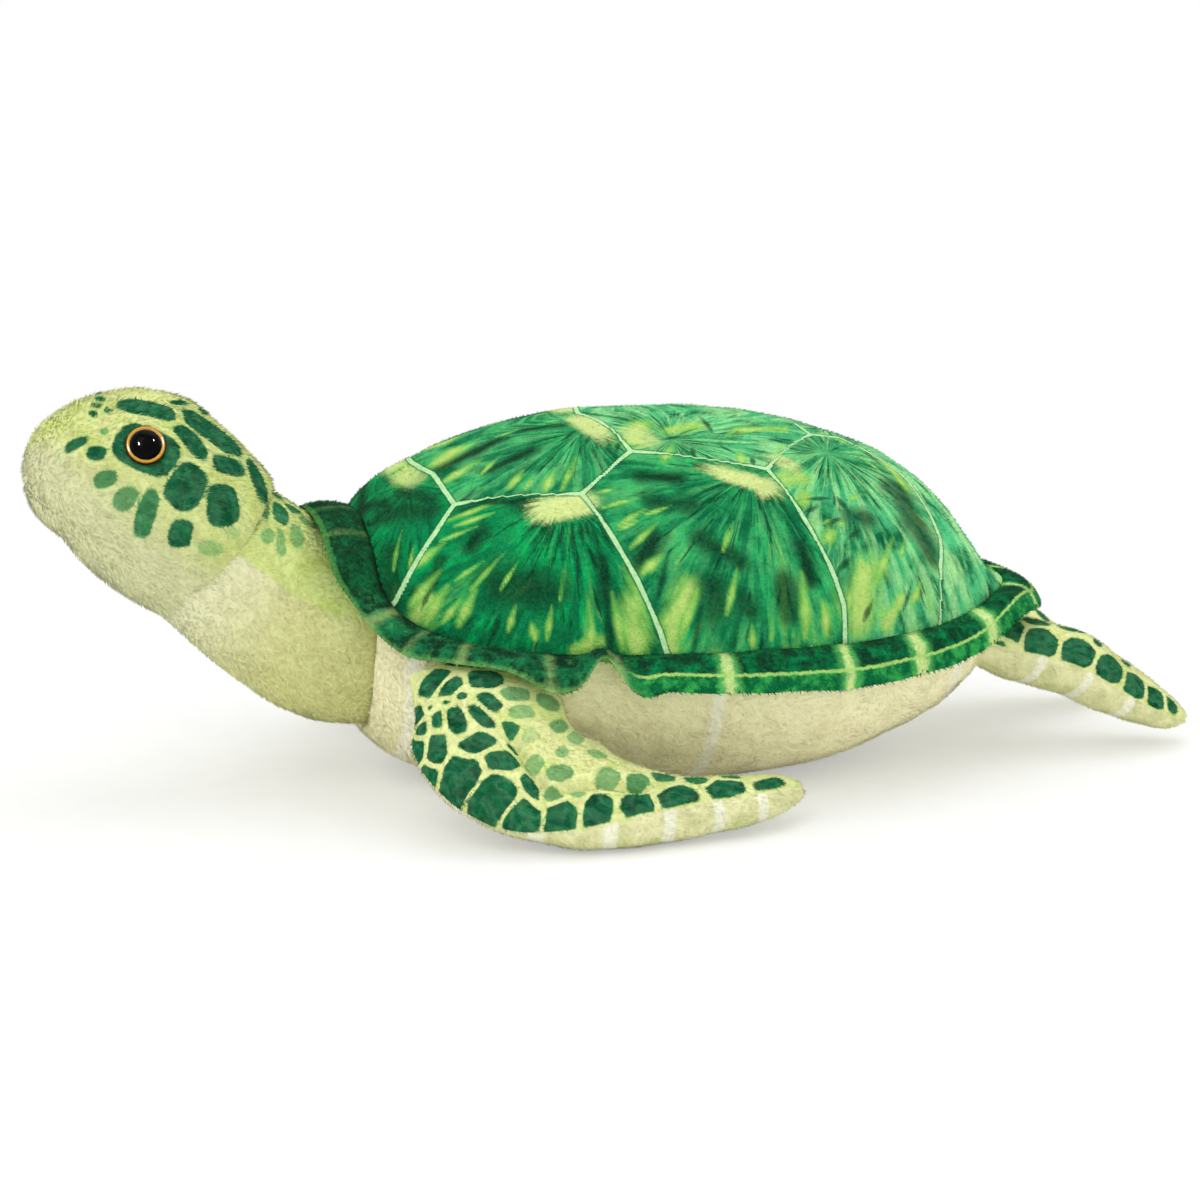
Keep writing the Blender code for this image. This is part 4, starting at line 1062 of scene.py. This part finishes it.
def plush(name, print_on, crimp_mm, ridge_highlight=0.05, light=0.86):
    """Knitted polyester plush with a cut pile: soft and matt, faintly bright where it turns away, paler at
    the fibres' ends and darker towards their roots and between them as painted light and shade. The ridge
    highlight is how much paler the crimps' ridges are painted, and the light how bright the cloth is between
    its tufts."""
    material = bpy.data.materials.new(name)
    material.use_nodes = True
    tree = material.node_tree
    shader = tree.nodes["Principled BSDF"]
    # Painted light and shade: the tufts are paler towards their tips and darker towards their roots
    tip = node(tree, "Attribute", out="Fac", attribute_name="tip")
    shade = node(tree, "Attribute", out="Fac", attribute_name="shade")
    lift = node(tree, "Math", {0: tip, 1: 0.30, 2: light}, operation="MULTIPLY_ADD")
    lift = node(tree, "Math", {0: shade, 1: 0.17, 2: lift}, operation="MULTIPLY_ADD")
    # Clumps of pile about 5 mm across lie differently and catch more or less light
    lift = node(tree, "Math", {0: mottle(tree, 5.0), 1: 0.24, 2: lift}, operation="MULTIPLY_ADD")
    # The pile crimps into winding ridges a few mm apart, shown by their slopes, by painted shade in the dips
    # and by a painted highlight on their tops
    place = node(tree, "Attribute", out="Vector", attribute_name="home")
    winding = {"Vector": place, "Scale": 1 / crimp_mm, "Detail": 0.0, "Distortion": 0.6}
    ridges = node(tree, "TexNoise", winding)
    ridges = node(tree, "Math", {0: ridges, 1: 14.0}, operation="MULTIPLY")
    ridges = node(tree, "Math", {0: ridges}, operation="SINE")
    lift = node(tree, "Math", {0: ridges, 1: 0.05, 2: lift}, operation="MULTIPLY_ADD")
    crimped = node(tree, "Bump", {"Strength": 0.5, "Distance": 0.35 * MM, "Height": ridges})
    # Painted highlight: the ridges' tops are mixed towards a pale green
    printed = inked(tree, print_on(tree), "#b9ddb4", ridges, -1.0, 1.0, ridge_highlight)
    bright = node(tree, "HueSaturation", {"Saturation": 1.05, "Value": lift, "Color": printed})
    tree.links.new(bright, shader.inputs["Base Color"])
    shader.inputs["Roughness"].default_value = 0.9
    shader.inputs["Specular IOR Level"].default_value = 0.02
    shader.inputs["Sheen Weight"].default_value = 0.015
    shader.inputs["Sheen Roughness"].default_value = 0.5
    shader.inputs["Sheen Tint"].default_value = linear("#eef5d8")
    # Fibres are 0.02 mm thick. They are drawn as locks of 0.9 mm, the finest that show.
    locks = {"Strength": 0.4, "Distance": 0.6 * MM, "Height": mottle(tree, 0.9, 3.0), "Normal": crimped}
    fibres = node(tree, "Bump", locks)
    tree.links.new(fibres, shader.inputs["Normal"])
    return material


def shell_print(tree):
    """Streaked green scutes, with yellow patches where the streaks start and pale lines between."""
    light, low, reach = field(tree, "light"), field(tree, "low"), field(tree, "reach")
    turned = node(tree, "Math", {0: field(tree, "ray"), 1: 9.0}, operation="MULTIPLY")
    gone = node(tree, "Math", {0: reach, 1: 1 / 34}, operation="MULTIPLY")
    apart = node(tree, "Math", {0: field(tree, "scute"), 1: 7.7}, operation="MULTIPLY")
    along_ray = node(tree, "CombineXYZ", {0: turned, 1: gone, 2: apart})
    streaks = mottle(tree, 1.0, 4.0, along_ray)
    thin = node(tree, "VectorMath", {0: along_ray, 1: (1.9, 1.5, 1.0)}, operation="MULTIPLY")
    hairs = mottle(tree, 1.0, 3.0, thin)
    cloud = mottle(tree, 14.0, 4.0)
    ground = inked(tree, colours().shell, MID_GREEN, cloud, 0.40, 0.66, 0.85)
    ground = inked(tree, ground, DARK_GREEN, streaks, 0.54, 0.40, 0.75)
    ground = inked(tree, ground, "#60c888", cloud, 0.30, 0.60, 0.85, light)
    ground = inked(tree, ground, MINT, streaks, 0.42, 0.64, 1.0, light)
    bright = node(tree, "Math", {0: low, 1: 0.09, 2: streaks}, operation="MULTIPLY_ADD")
    ground = inked(tree, ground, LIME, bright, 0.62, 0.76, 0.6)
    near = node(tree, "MapRange", {0: reach, 1: 44.0, 2: 12.0})
    ground = inked(tree, ground, "#2c9656", near, 0.30, 1.0, 0.30)
    dark = node(tree, "Math", {0: near, 1: 0.08, 2: hairs}, operation="MULTIPLY_ADD")
    ground = inked(tree, ground, DEEP_GREEN, dark, 0.58, 0.70, 0.8)
    # Clouds have soft and ragged rims, strokes firmer ones
    for key, rough, rim, core in (("cloud", 1.1, 0.30, 0.95), ("stroke", 0.30, 0.34, 0.80)):
        uneven = node(tree, "Math", {0: streaks, 1: rough, 2: -0.5 * rough}, operation="MULTIPLY_ADD")
        dark, pale = (
            node(tree, "Math", {0: field(tree, ink + key), 1: uneven}, operation="ADD")
            for ink in ("dark_", "pale_")
        )
        ground = inked(tree, ground, LIME, pale, rim, core, 0.85)
        ground = inked(tree, ground, "#b9cf78", pale, rim + 0.25, core + 0.2, 0.8)
        ground = inked(tree, ground, DEEP_GREEN, dark, rim, core, 0.8)
    patch = node(tree, "Math", {0: hairs, 1: 7.0, 2: field(tree, "patch", 1.6)}, operation="MULTIPLY_ADD")
    ground = inked(tree, ground, PATCH_YELLOW, patch, 1.4, 6.0, 1.0, field(tree, "patch_ink"))
    nearest = None
    for key in ("arch_line", "flank_line", "ridge_line"):
        distance = node(tree, "Math", {0: field(tree, key)}, operation="ABSOLUTE")
        if nearest is None:
            nearest = distance
        else:
            nearest = node(tree, "Math", {0: nearest, 1: distance}, operation="MINIMUM")
    nearest = node(tree, "Math", {0: mottle(tree, 1.6), 1: 0.3, 2: nearest}, operation="MULTIPLY_ADD")
    ground = inked(tree, ground, "#0e5c34", nearest, 2.4, 1.6, 0.7)
    return inked(tree, ground, LINE_GREEN, nearest, 1.55, 1.1)


def flap_print(tree):
    """Behind, dark blocks parted by pale gaps, with a yellow line along them. In front, mottled, and dark
    partly with painted shade.
    """
    across, front = field(tree, "across", 0.05, 3.0), field(tree, "front")
    gap = field(tree, "gap", 2.4, 4.0)
    cloud = mottle(tree, 7.0, 3.0)
    strip = inked(tree, "#0a6338", "#3fa654", cloud, 0.42, 0.66)
    block = inked(tree, "#023d23", "#0c7a45", cloud, 0.40, 0.68)
    behind = inked(tree, block, strip, across, 0.60, 0.68)
    behind = inked(tree, behind, "#5fb765", gap, -5.0, -0.5, 0.75)
    behind = inked(tree, behind, "#d3e69a", gap, -1.2, 1.6, 0.8)
    off = node(tree, "Math", {0: across, 1: -0.64}, operation="ADD")
    off = node(tree, "Math", {0: off}, operation="ABSOLUTE")
    behind = inked(tree, behind, "#aad478", off, 0.055, 0.015, 0.9)
    # In front the dark ground is partly painted shade, and the rim is paler
    ahead = inked(tree, "#06351f", "#1c7044", mottle(tree, 9.0, 3.0), 0.42, 0.64)
    ahead = inked(tree, ahead, "#4a9655", mottle(tree, 6.0, 4.0), 0.54, 0.70, 0.5)
    ahead = inked(tree, ahead, "#7db765", across, 0.88, 1.0, 0.5)
    ahead = inked(tree, ahead, "#b9d586", gap, -2.5, 2.5, 0.4)
    ahead = inked(tree, ahead, "#04401f", field(tree, "collar"), 0.3, 0.9, 0.55)
    edge = node(tree, "Math", {0: across, 1: -0.95}, operation="ADD")
    edge = node(tree, "Math", {0: edge}, operation="ABSOLUTE")
    ahead = inked(tree, ahead, "#4f9148", edge, 0.07, 0.03, 0.5, field(tree, "collar"))
    ground = inked(tree, behind, ahead, front)
    return inked(tree, ground, "#7fb56c", field(tree, "across"), 1.12, 1.3)


def spot_print(ground_of):
    """The print of the spotted plush, on a ground of its own."""

    def print_on(tree):
        ground = ground_of(tree)
        spot, strength = field(tree, "spot", 0.8), field(tree, "ink")
        ink = inked(tree, colours().ink, "#2f7d50", mottle(tree, 4.0, 3.0), 0.40, 0.68, 0.7)
        ink = inked(tree, ink, "#08371f", mottle(tree, 9.0, 3.0), 0.52, 0.66, 0.7)
        ink = inked(tree, "#5aa969", ink, strength, 0.3, 1.0)
        ground = inked(tree, ground, "#a3c873", spot, -1.4, 0.4, 0.4, strength)
        full = node(tree, "Math", {0: strength, 1: 1.3}, operation="MULTIPLY", use_clamp=True)
        return inked(tree, ground, ink, spot, -0.5, 0.5, 1.0, full)

    return print_on


def head_ground(tree):
    """Yellow-green above, fading into the pale cheeks and chin."""
    ground = inked(tree, colours().leaf, "#c3d077", mottle(tree, 18.0), 0.45, 0.65, 0.7)
    return inked(tree, ground, "#d2d3a6", field(tree, "pale"))


def neck_ground(tree):
    """Yellow-green above the seam, cream at the throat, lighter near the chin."""
    ground = inked(tree, "#cdd88c", "#bac86e", mottle(tree, 18.0), 0.45, 0.65, 0.7)
    throat = inked(tree, "#cfcf91", "#e0dfb8", field(tree, "chin"), 0.0, 1.0)
    return inked(tree, ground, throat, field(tree, "pale"))


def flipper_ground(tree):
    """Pale yellow-green above the seam, cream with pale lines below it."""
    ground = inked(tree, "#e0e4a2", "#cdda86", mottle(tree, 12.0), 0.48, 0.66, 0.8)
    under = inked(tree, "#e0deae", "#ccce98", mottle(tree, 10.0), 0.42, 0.64)
    bar = node(tree, "Math", {0: field(tree, "bar", 0.8, 3.0)}, operation="ABSOLUTE")
    under = inked(tree, under, "#efeedb", bar, 3.2, 1.6, 0.8)
    return inked(tree, ground, under, field(tree, "top", 0.8), 0.3, -0.3)


def cream_print(tree):
    """Cream plush with faint pale lines across it, and painted shade towards its sides under the flap."""
    ground = inked(tree, colours().cream, "#e6dfb4", mottle(tree, 22.0, 3.0), 0.46, 0.66, 0.6)
    # Painted shade: darker towards the belly's sides, under the flap
    ground = inked(tree, ground, "#dad69f", field(tree, "shade_under_flap"))
    bar = node(tree, "Math", {0: field(tree, "bar", 1.0, 4.0)}, operation="ABSOLUTE")
    return inked(tree, ground, "#faf9ec", bar, 4.2, 1.6, 0.6)


def bars(distance_mm, places_mm):
    """Distance in mm from the nearest of some places, its sign changing at each."""
    places_mm = np.sort(np.array(places_mm, float))
    nearest = np.abs(distance_mm[..., None] - places_mm).min(axis=-1)
    passed = (distance_mm[..., None] > places_mm).sum(axis=-1)
    return nearest * (1 - 2 * (passed % 2))


class PLUSH_OT_torso(bpy.types.Operator):
    """Carapace, belly and edge flap"""

    bl_idname = "plush.torso"
    bl_label = "Torso"

    def execute(self, context):
        spacing = settings().spacing
        shell = torso_skin(0.0, 0.5, 246, spacing * 0.675)
        print_scutes(shell)
        large, small = lumps(shell.points, 38 * MM, 1), lumps(shell.points, 14 * MM, 2)
        shell.push(large * 1.6 * MM + small * 0.5 * MM)
        cloth = plush("printed_shell_plush", shell_print, crimp_mm=2.2, ridge_highlight=0.015, light=0.93)
        piece = sewn("carapace_skin", shell, cloth, SHELL_NAP, pile_share=0.55, spread=3.0)
        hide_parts("carapace_cover", "torso_filling")
        pieces = [piece]
        belly = torso_skin(0.5, 1.0, 120, spacing * 1.15)
        _, column = belly.shares()
        x, z = belly.points[..., 0] * 1000, belly.points[..., 2] * 1000
        belly.fields["bar"] = bars(x, BELLY_BARS)
        # Painted shade under the flap, strongest at the belly's sides
        belly.fields["shade_under_flap"] = np.clip(0.4 - np.minimum(column, 1 - column) * 6, 0, 0.4)
        # The lumps fade out towards the floor, which presses the filling flat
        large, small = lumps(belly.points, 34 * MM, 4), lumps(belly.points, 13 * MM, 5)
        belly.push((large * 1.6 * MM + small * 0.5 * MM) * np.clip(z / 20, 0, 1))
        belly.rest_on_floor()
        cloth = plush("cream_plush", cream_print, crimp_mm=9.0)
        piece = sewn("belly_skin", belly, cloth, BELLY_NAP, pile_share=0.75)
        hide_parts("belly_cover")
        pieces.append(piece)
        flap = flap_skin(spacing)
        cloth = plush("printed_flap_plush", flap_print, crimp_mm=2.4, ridge_highlight=0.015)
        piece = sewn("edge_flap", flap, cloth, FLAP_NAP, pile_share=0.6)
        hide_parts("edge_flap_top", "edge_flap_lining")
        pieces.append(piece)
        for piece in pieces:
            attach(piece, "torso")
        return {"FINISHED"}


class PLUSH_OT_neck(bpy.types.Operator):
    """Neck, with its throat panel"""

    bl_idname = "plush.neck"
    bl_label = "Neck"

    def execute(self, context):
        neck = leaning_skin(NECK_ROWS, NECK_START, NECK_REACH, 150, settings().spacing, False)
        row, turn = neck.shares()
        neck.fields["chin"] = np.clip(row * 2.2 - 0.9, 0, 1)
        from_top = np.abs((turn - 0.25 + 0.5) % 1 - 0.5)
        seam = (0.215 - from_top) * 260
        neck.fields["spot"], neck.fields["ink"] = neck.printed_spots(NECK_SPOTS, 0.25, 1.5)
        neck.fields["pale"] = np.clip(0.5 - seam / 1.6, 0, 1)
        neck.push(lumps(neck.points, 24 * MM, 6) * 1.3 * MM + grooved(seam, 0.8 * MM, 1.8))
        cloth = plush("spotted_neck_plush", spot_print(neck_ground), crimp_mm=7.0)
        piece = sewn("neck_skin", neck, cloth, NECK_NAP, first_share=0.12, pile_share=0.75)
        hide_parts("neck_top_cover", "throat_cover", "neck_filling")
        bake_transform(piece)
        return {"FINISHED"}


class PLUSH_OT_head(bpy.types.Operator):
    """Head, seated round its eyes"""

    bl_idname = "plush.head"
    bl_label = "Head"

    def execute(self, context):
        head = leaning_skin(HEAD_ROWS, HEAD_START, HEAD_REACH, 184, settings().spacing * 0.8, True)
        row, turn = head.shares()
        from_top = np.abs((turn - 0.25 + 0.5) % 1 - 0.5)
        edge = np.interp(row, *np.array(HEAD_GREEN_EDGE).T)
        head.fields["pale"] = np.clip((from_top - edge) / 0.13 + 0.5, 0, 1)
        head.fields["spot"], head.fields["ink"] = head.printed_spots(HEAD_SPOTS, 0.25, 1.5)
        width = head.points[..., 1].max(axis=1) * 1000
        chin = (from_top - 0.35) * (width * 4.4 + 1)[:, None]
        middle = head.points[..., 1] * 1000 + np.where(from_top > 0.3, 40, 0)
        packed = lumps(head.points, 20 * MM, 7) * 1.1 * MM
        head.push(packed + grooved(chin, 0.8 * MM, 1.6) + grooved(middle, 0.4 * MM, 1.4))
        for side in (1, -1):
            place = np.array(EYE_PLACE) * np.array((1, side, 1))
            near = np.linalg.norm(head.points - place, axis=2) / MM
            # The eye's washer pulls the cloth in under it, and the filling swells round it
            sunk = -2.2 * MM * np.exp(-((near / 9.5) ** 6))
            head.push(sunk + 0.9 * MM * np.exp(-(((near - 12.5) / 3.0) ** 2)))
        cloth = plush("spotted_head_plush", spot_print(head_ground), crimp_mm=7.0)
        piece = sewn("head_skin", head, cloth, HEAD_NAP, pile_share=0.9)
        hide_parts("head_left_cover", "head_right_cover", "chin_cover", "head_filling")
        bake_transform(piece)
        return {"FINISHED"}


class PLUSH_OT_eyes(bpy.types.Operator):
    """Safety eyes: an amber ring round a black dome, and the washers inside"""

    bl_idname = "plush.eyes"
    bl_label = "Eyes"

    def turned(self, name, profile, side, around=72):
        """A profile of radius and height in mm turned round the eye's axis, with its radius kept."""
        profile = smooth(profile, np.linspace(0, len(profile) - 1, 5 * len(profile)))
        facing = Vector((EYE_FACING.x, EYE_FACING.y * side, EYE_FACING.z))
        place = Vector((EYE_PLACE.x, EYE_PLACE.y * side, EYE_PLACE.z)) + facing * EYE_STAND
        turn = facing.to_track_quat("Z", "Y").to_matrix()
        mesh = bpy.data.meshes.new(name)
        points, faces = [], []
        for step in range(around):
            angle = math.tau * step / around
            for radius, height in profile:
                spot = Vector((radius * math.cos(angle), radius * math.sin(angle), height)) * MM
                points.append(place + turn @ spot)
        count = len(profile)
        for step in range(around):
            after = (step + 1) % around
            for k in range(count - 1):
                here, there = step * count + k, after * count + k
                faces.append((here, there, there + 1, here + 1))
        faces.append([step * count + count - 1 for step in range(around)])
        faces.append([step * count for step in range(around)][::-1])
        if profile[-1][1] < profile[0][1]:
            faces = [tuple(face)[::-1] for face in faces]
        mesh.from_pydata(points, [], faces)
        radii = np.tile(profile[:, 0], around).astype(np.float32)
        mesh.attributes.new("radius", "FLOAT", "POINT").data.foreach_set("value", radii)
        mesh.shade_smooth()
        return mesh

    def execute(self, context):
        # Acrylic, moulded and painted behind: wet-looking, with a bright ring round the pupil
        ring = bpy.data.materials.new("painted_amber_acrylic")
        ring.use_nodes = True
        tree = ring.node_tree
        shader = tree.nodes["Principled BSDF"]
        radius = field(tree, "radius")
        colour = inked(tree, "#f0d99a", colours().amber, radius, 7.45, 7.75)
        colour = inked(tree, colour, "#8f5a0c", radius, 8.2, 8.75, 0.85)
        # Brushed on by hand, the amber is a little uneven over about 1 mm
        flecks = node(tree, "TexNoise", {"Vector": node(tree, "TexCoord", out="Object"), "Scale": 1000.0})
        colour = inked(tree, colour, "#ecc566", flecks, 0.5, 0.8, 0.4)
        colour = inked(tree, colour, "#2e1706", radius, 8.7, 9.05)
        tree.links.new(colour, shader.inputs["Base Color"])
        shader.inputs["Roughness"].default_value = 0.2
        shader.inputs["Specular IOR Level"].default_value = 0.15
        # Clear acrylic over black paint, polished
        dome = bpy.data.materials.new("polished_black_acrylic")
        dome.use_nodes = True
        tree = dome.node_tree
        shader = tree.nodes["Principled BSDF"]
        cloud = node(tree, "TexNoise", {"Vector": node(tree, "TexCoord", out="Object"), "Scale": 330.0})
        tree.links.new(inked(tree, "#020202", "#080707", cloud, 0.3, 0.7), shader.inputs["Base Color"])
        shader.inputs["Roughness"].default_value = 0.05
        shader.inputs["IOR"].default_value = 1.49
        shader.inputs["Specular IOR Level"].default_value = 0.05
        # Polyethylene, injection moulded: white and waxy, with faint flow marks
        washer = bpy.data.materials.new("moulded_white_polyethylene")
        washer.use_nodes = True
        tree = washer.node_tree
        shader = tree.nodes["Principled BSDF"]
        flow = node(tree, "TexNoise", {"Vector": node(tree, "TexCoord", out="Object"), "Scale": 300.0})
        tree.links.new(inked(tree, "#e9e8e2", "#f4f3ef", flow, 0.3, 0.7), shader.inputs["Base Color"])
        shader.inputs["Roughness"].default_value = 0.55
        for side, name in ((1, "left_eye"), (-1, "right_eye")):
            mesh = self.turned(name + "_ring", EYE_RING, side)
            piece = piece_of(name + "_ring", mesh, ring)
            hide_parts(name + "_iris")
            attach(piece, "head")
            mesh = self.turned(name + "_pupil", EYE_DOME, side)
            piece = piece_of(name + "_pupil", mesh, dome)
            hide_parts(name + "_dome")
            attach(piece, "head")
            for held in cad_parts[name + "_washer"].material_slots:
                held.material = washer
        return {"FINISHED"}


class PLUSH_OT_flippers(bpy.types.Operator):
    """Front and rear flippers"""

    bl_idname = "plush.flippers"
    bl_label = "Flippers"

    def dressed(self, skin, spots, seam, bar_places, seed, fold=None):
        """Gives a flipper its fields, with spots above the seam at its front edge and bars below it, and
        its lumps, its seam's groove and its fold."""
        row, turn = skin.shares()
        around = np.linalg.norm(np.diff(skin.points, axis=1), axis=2).sum(axis=1)[:, None] * 1000 + 1
        front = np.interp(row, *np.array(seam).T)
        turn = (turn - front + 0.25) % 1 + front - 0.25
        top = np.minimum(turn - front, 0.5 - turn) * around
        spot, skin.fields["ink"] = skin.printed_spots(spots, None, 1.9)
        skin.fields["spot"] = np.minimum(spot, top - 1.0)
        skin.fields["top"] = top
        length = np.linalg.norm(np.diff(skin.points.mean(axis=1), axis=0), axis=1).cumsum() * 1000
        length = np.concatenate([[0], length])[:, None] + 0 * turn
        skin.fields["bar"] = bars(length, bar_places)
        creased = from_lines(skin.points, [skin.at(fold)]) if fold else np.full(turn.shape, 1.0)
        skin.push(lumps(skin.points, 18 * MM, seed) * 1.1 * MM * np.clip(around / 60, 0.2, 1))
        skin.push(grooved(top, 0.8 * MM, 1.6) + grooved(creased, 5.0 * MM, 3.2 * MM))
        skin.rest_on_floor()

    def execute(self, context):
        spacing = settings().spacing * 0.65
        cloth = plush("spotted_flipper_plush", spot_print(flipper_ground), crimp_mm=7.0)
        for side, mirror in (("left", 1), ("right", -1)):
            skin = flipper_skin(FRONT_ROWS, FRONT_HINGE, FRONT_LENGTH, FRONT_HALVES, mirror, 150, spacing)
            self.dressed(skin, mirrored(FRONT_SPOTS, mirror), FRONT_SEAM, FRONT_BARS, 11, FRONT_FOLD)
            name = f"front_{side}_flipper"
            nap = np.array(FRONT_NAP) * (1, mirror, 1)
            piece = sewn(name + "_skin", skin, cloth, nap, first_share=0.06, pile_share=0.65)
            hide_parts(name + "_top", name + "_underside", name + "_filling")
            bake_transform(piece)
            skin = flipper_skin(REAR_ROWS, REAR_HINGE, REAR_LENGTH, REAR_HALVES, mirror, 108, spacing)
            self.dressed(skin, mirrored(REAR_SPOTS, mirror), REAR_SEAM, REAR_BARS, 12)
            name = f"rear_{side}_flipper"
            nap = np.array(REAR_NAP) * (1, mirror, 1)
            piece = sewn(name + "_skin", skin, cloth, nap, first_share=0.06, pile_share=0.65)
            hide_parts(name + "_top", name + "_underside", name + "_filling")
            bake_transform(piece)
        return {"FINISHED"}


def mirrored(spots, mirror):
    """The spots as they lie on a mirrored grid, where the way round the section runs backwards."""
    return [(row, turn, a, b, angle * mirror, ink) for row, turn, a, b, angle, ink in spots]


class PLUSH_OT_stage(bpy.types.Operator):
    """Floor, lamps and camera"""

    bl_idname = "plush.stage"
    bl_label = "Stage"

    def execute(self, context):
        scene = context.scene
        mesh = bpy.data.meshes.new("floor")
        half = FLOOR_HALF
        corners = [(-half, -half, 0), (half, -half, 0), (half, half, 0), (-half, half, 0)]
        mesh.from_pydata(corners, [], [(0, 1, 2, 3)])
        # Matt painted board, sprayed: even and without gloss. It fades into the white behind.
        paint = bpy.data.materials.new("sprayed_board")
        paint.use_nodes = True
        tree = paint.node_tree
        shader = tree.nodes["Principled BSDF"]
        grain = node(tree, "TexNoise", {"Vector": node(tree, "TexCoord", out="Object"), "Scale": 60.0})
        tree.links.new(inked(tree, "#f6f6f5", "#f9f9f8", grain, 0.3, 0.7), shader.inputs["Base Color"])
        shader.inputs["Roughness"].default_value = 0.95
        shader.inputs["Specular IOR Level"].default_value = 0.1
        place = node(tree, "TexCoord", out="Object")
        away = node(tree, "VectorMath", {0: place}, out="Value", operation="LENGTH")
        # To the camera, white light lifts the board's shadows by two fifths
        seen = node(tree, "LightPath", out="Is Camera Ray")
        seen = node(tree, "Math", {0: seen, 1: 0.4}, operation="MULTIPLY")
        board = node(tree, "MixShader", {0: seen, 1: shader.outputs[0], 2: node(tree, "Emission")})
        gone = node(tree, "MapRange", {0: away, 1: 0.45, 2: 1.5}, interpolation_type="SMOOTHSTEP")
        board = node(tree, "MixShader", {0: gone, 1: board, 2: node(tree, "BsdfTransparent")})
        tree.links.new(board, tree.nodes["Material Output"].inputs["Surface"])
        piece_of("floor", mesh, paint)
        camera = bpy.data.cameras.new("camera")
        camera.lens = CAMERA_LENS
        camera.sensor_width = CAMERA_SENSOR
        eye = bpy.data.objects.new("camera", camera)
        scene.collection.objects.link(eye)
        azimuth, elevation = math.radians(CAMERA_AZIMUTH), math.radians(CAMERA_ELEVATION)
        flat = math.cos(elevation)
        back = Vector((math.sin(azimuth) * flat, -math.cos(azimuth) * flat, math.sin(elevation)))
        eye.location = CAMERA_TARGET + back * CAMERA_DISTANCE
        eye.rotation_euler = back.to_track_quat("Z", "Y").to_euler()
        scene.camera = eye
        world = bpy.data.worlds.new("studio")
        scene.world = world
        world.use_nodes = True
        tree = world.node_tree
        # The camera and polished surfaces see plain white. The object is lit by a little less.
        seen = node(tree, "LightPath", out="Is Camera Ray")
        for ray in ("Is Glossy Ray", "Is Transmission Ray"):
            seen = node(tree, "Math", {0: seen, 1: node(tree, "LightPath", out=ray)}, operation="MAXIMUM")
        strength = node(tree, "MapRange", {0: seen, 3: WORLD_LIGHT, 4: 1.0})
        tree.nodes["Background"].inputs["Color"].default_value = (1, 1, 1, 1)
        tree.links.new(strength, tree.nodes["Background"].inputs["Strength"])
        for name, place, size, energy in (
            ("key", (-0.9, -1.3, 1.7), 1.1, KEY_WATTS),
            ("top", (0.3, 0.2, 2.0), 1.6, TOP_WATTS),
            ("spark_left", (-0.95, -1.3, 1.35), 0.3, SPARK_WATTS),
            ("spark_right", (0.75, -1.0, 1.6), 0.22, SPARK_WATTS / 2),
        ):
            lamp = bpy.data.lights.new(name, "AREA")
            lamp.size = size
            lamp.energy = energy
            holder = bpy.data.objects.new(name, lamp)
            scene.collection.objects.link(holder)
            # The sparks are too small to light the cloth. They only glint in what is polished.
            holder.visible_diffuse = not name.startswith("spark")
            holder.location = place
            holder.rotation_euler = (Vector(place) - CAMERA_TARGET).to_track_quat("Z", "Y").to_euler()
        scene.view_settings.view_transform = "Standard"
        return {"FINISHED"}


OPERATORS = (PLUSH_OT_stage, PLUSH_OT_torso, PLUSH_OT_neck, PLUSH_OT_head, PLUSH_OT_eyes, PLUSH_OT_flippers)


class PLUSH_PT_panel(bpy.types.Panel):
    """Lists the sizes, the colours and the steps in order"""

    bl_label = "Plush Sea Turtle"
    bl_idname = "PLUSH_PT_panel"
    bl_space_type = "VIEW_3D"
    bl_region_type = "UI"
    bl_category = "Plush"

    def draw(self, context):
        for group in (context.scene.plush_settings, context.scene.plush_colours):
            for key in type(group).__annotations__:
                self.layout.prop(group, key)
        for operator in OPERATORS:
            self.layout.operator(operator.bl_idname)


CLASSES = (PlushSettings, PlushColours, *OPERATORS, PLUSH_PT_panel)


def register():
    for cls in CLASSES:
        bpy.utils.register_class(cls)
    bpy.types.Scene.plush_settings = bpy.props.PointerProperty(type=PlushSettings)
    bpy.types.Scene.plush_colours = bpy.props.PointerProperty(type=PlushColours)


def unregister():
    del bpy.types.Scene.plush_settings
    del bpy.types.Scene.plush_colours
    for cls in reversed(CLASSES):
        bpy.utils.unregister_class(cls)


def main():
    register()
    bpy.ops.plush.stage()
    bpy.ops.plush.torso()
    bpy.ops.plush.neck()
    bpy.ops.plush.head()
    bpy.ops.plush.eyes()
    bpy.ops.plush.flippers()


if __name__ == "__main__":
    main()
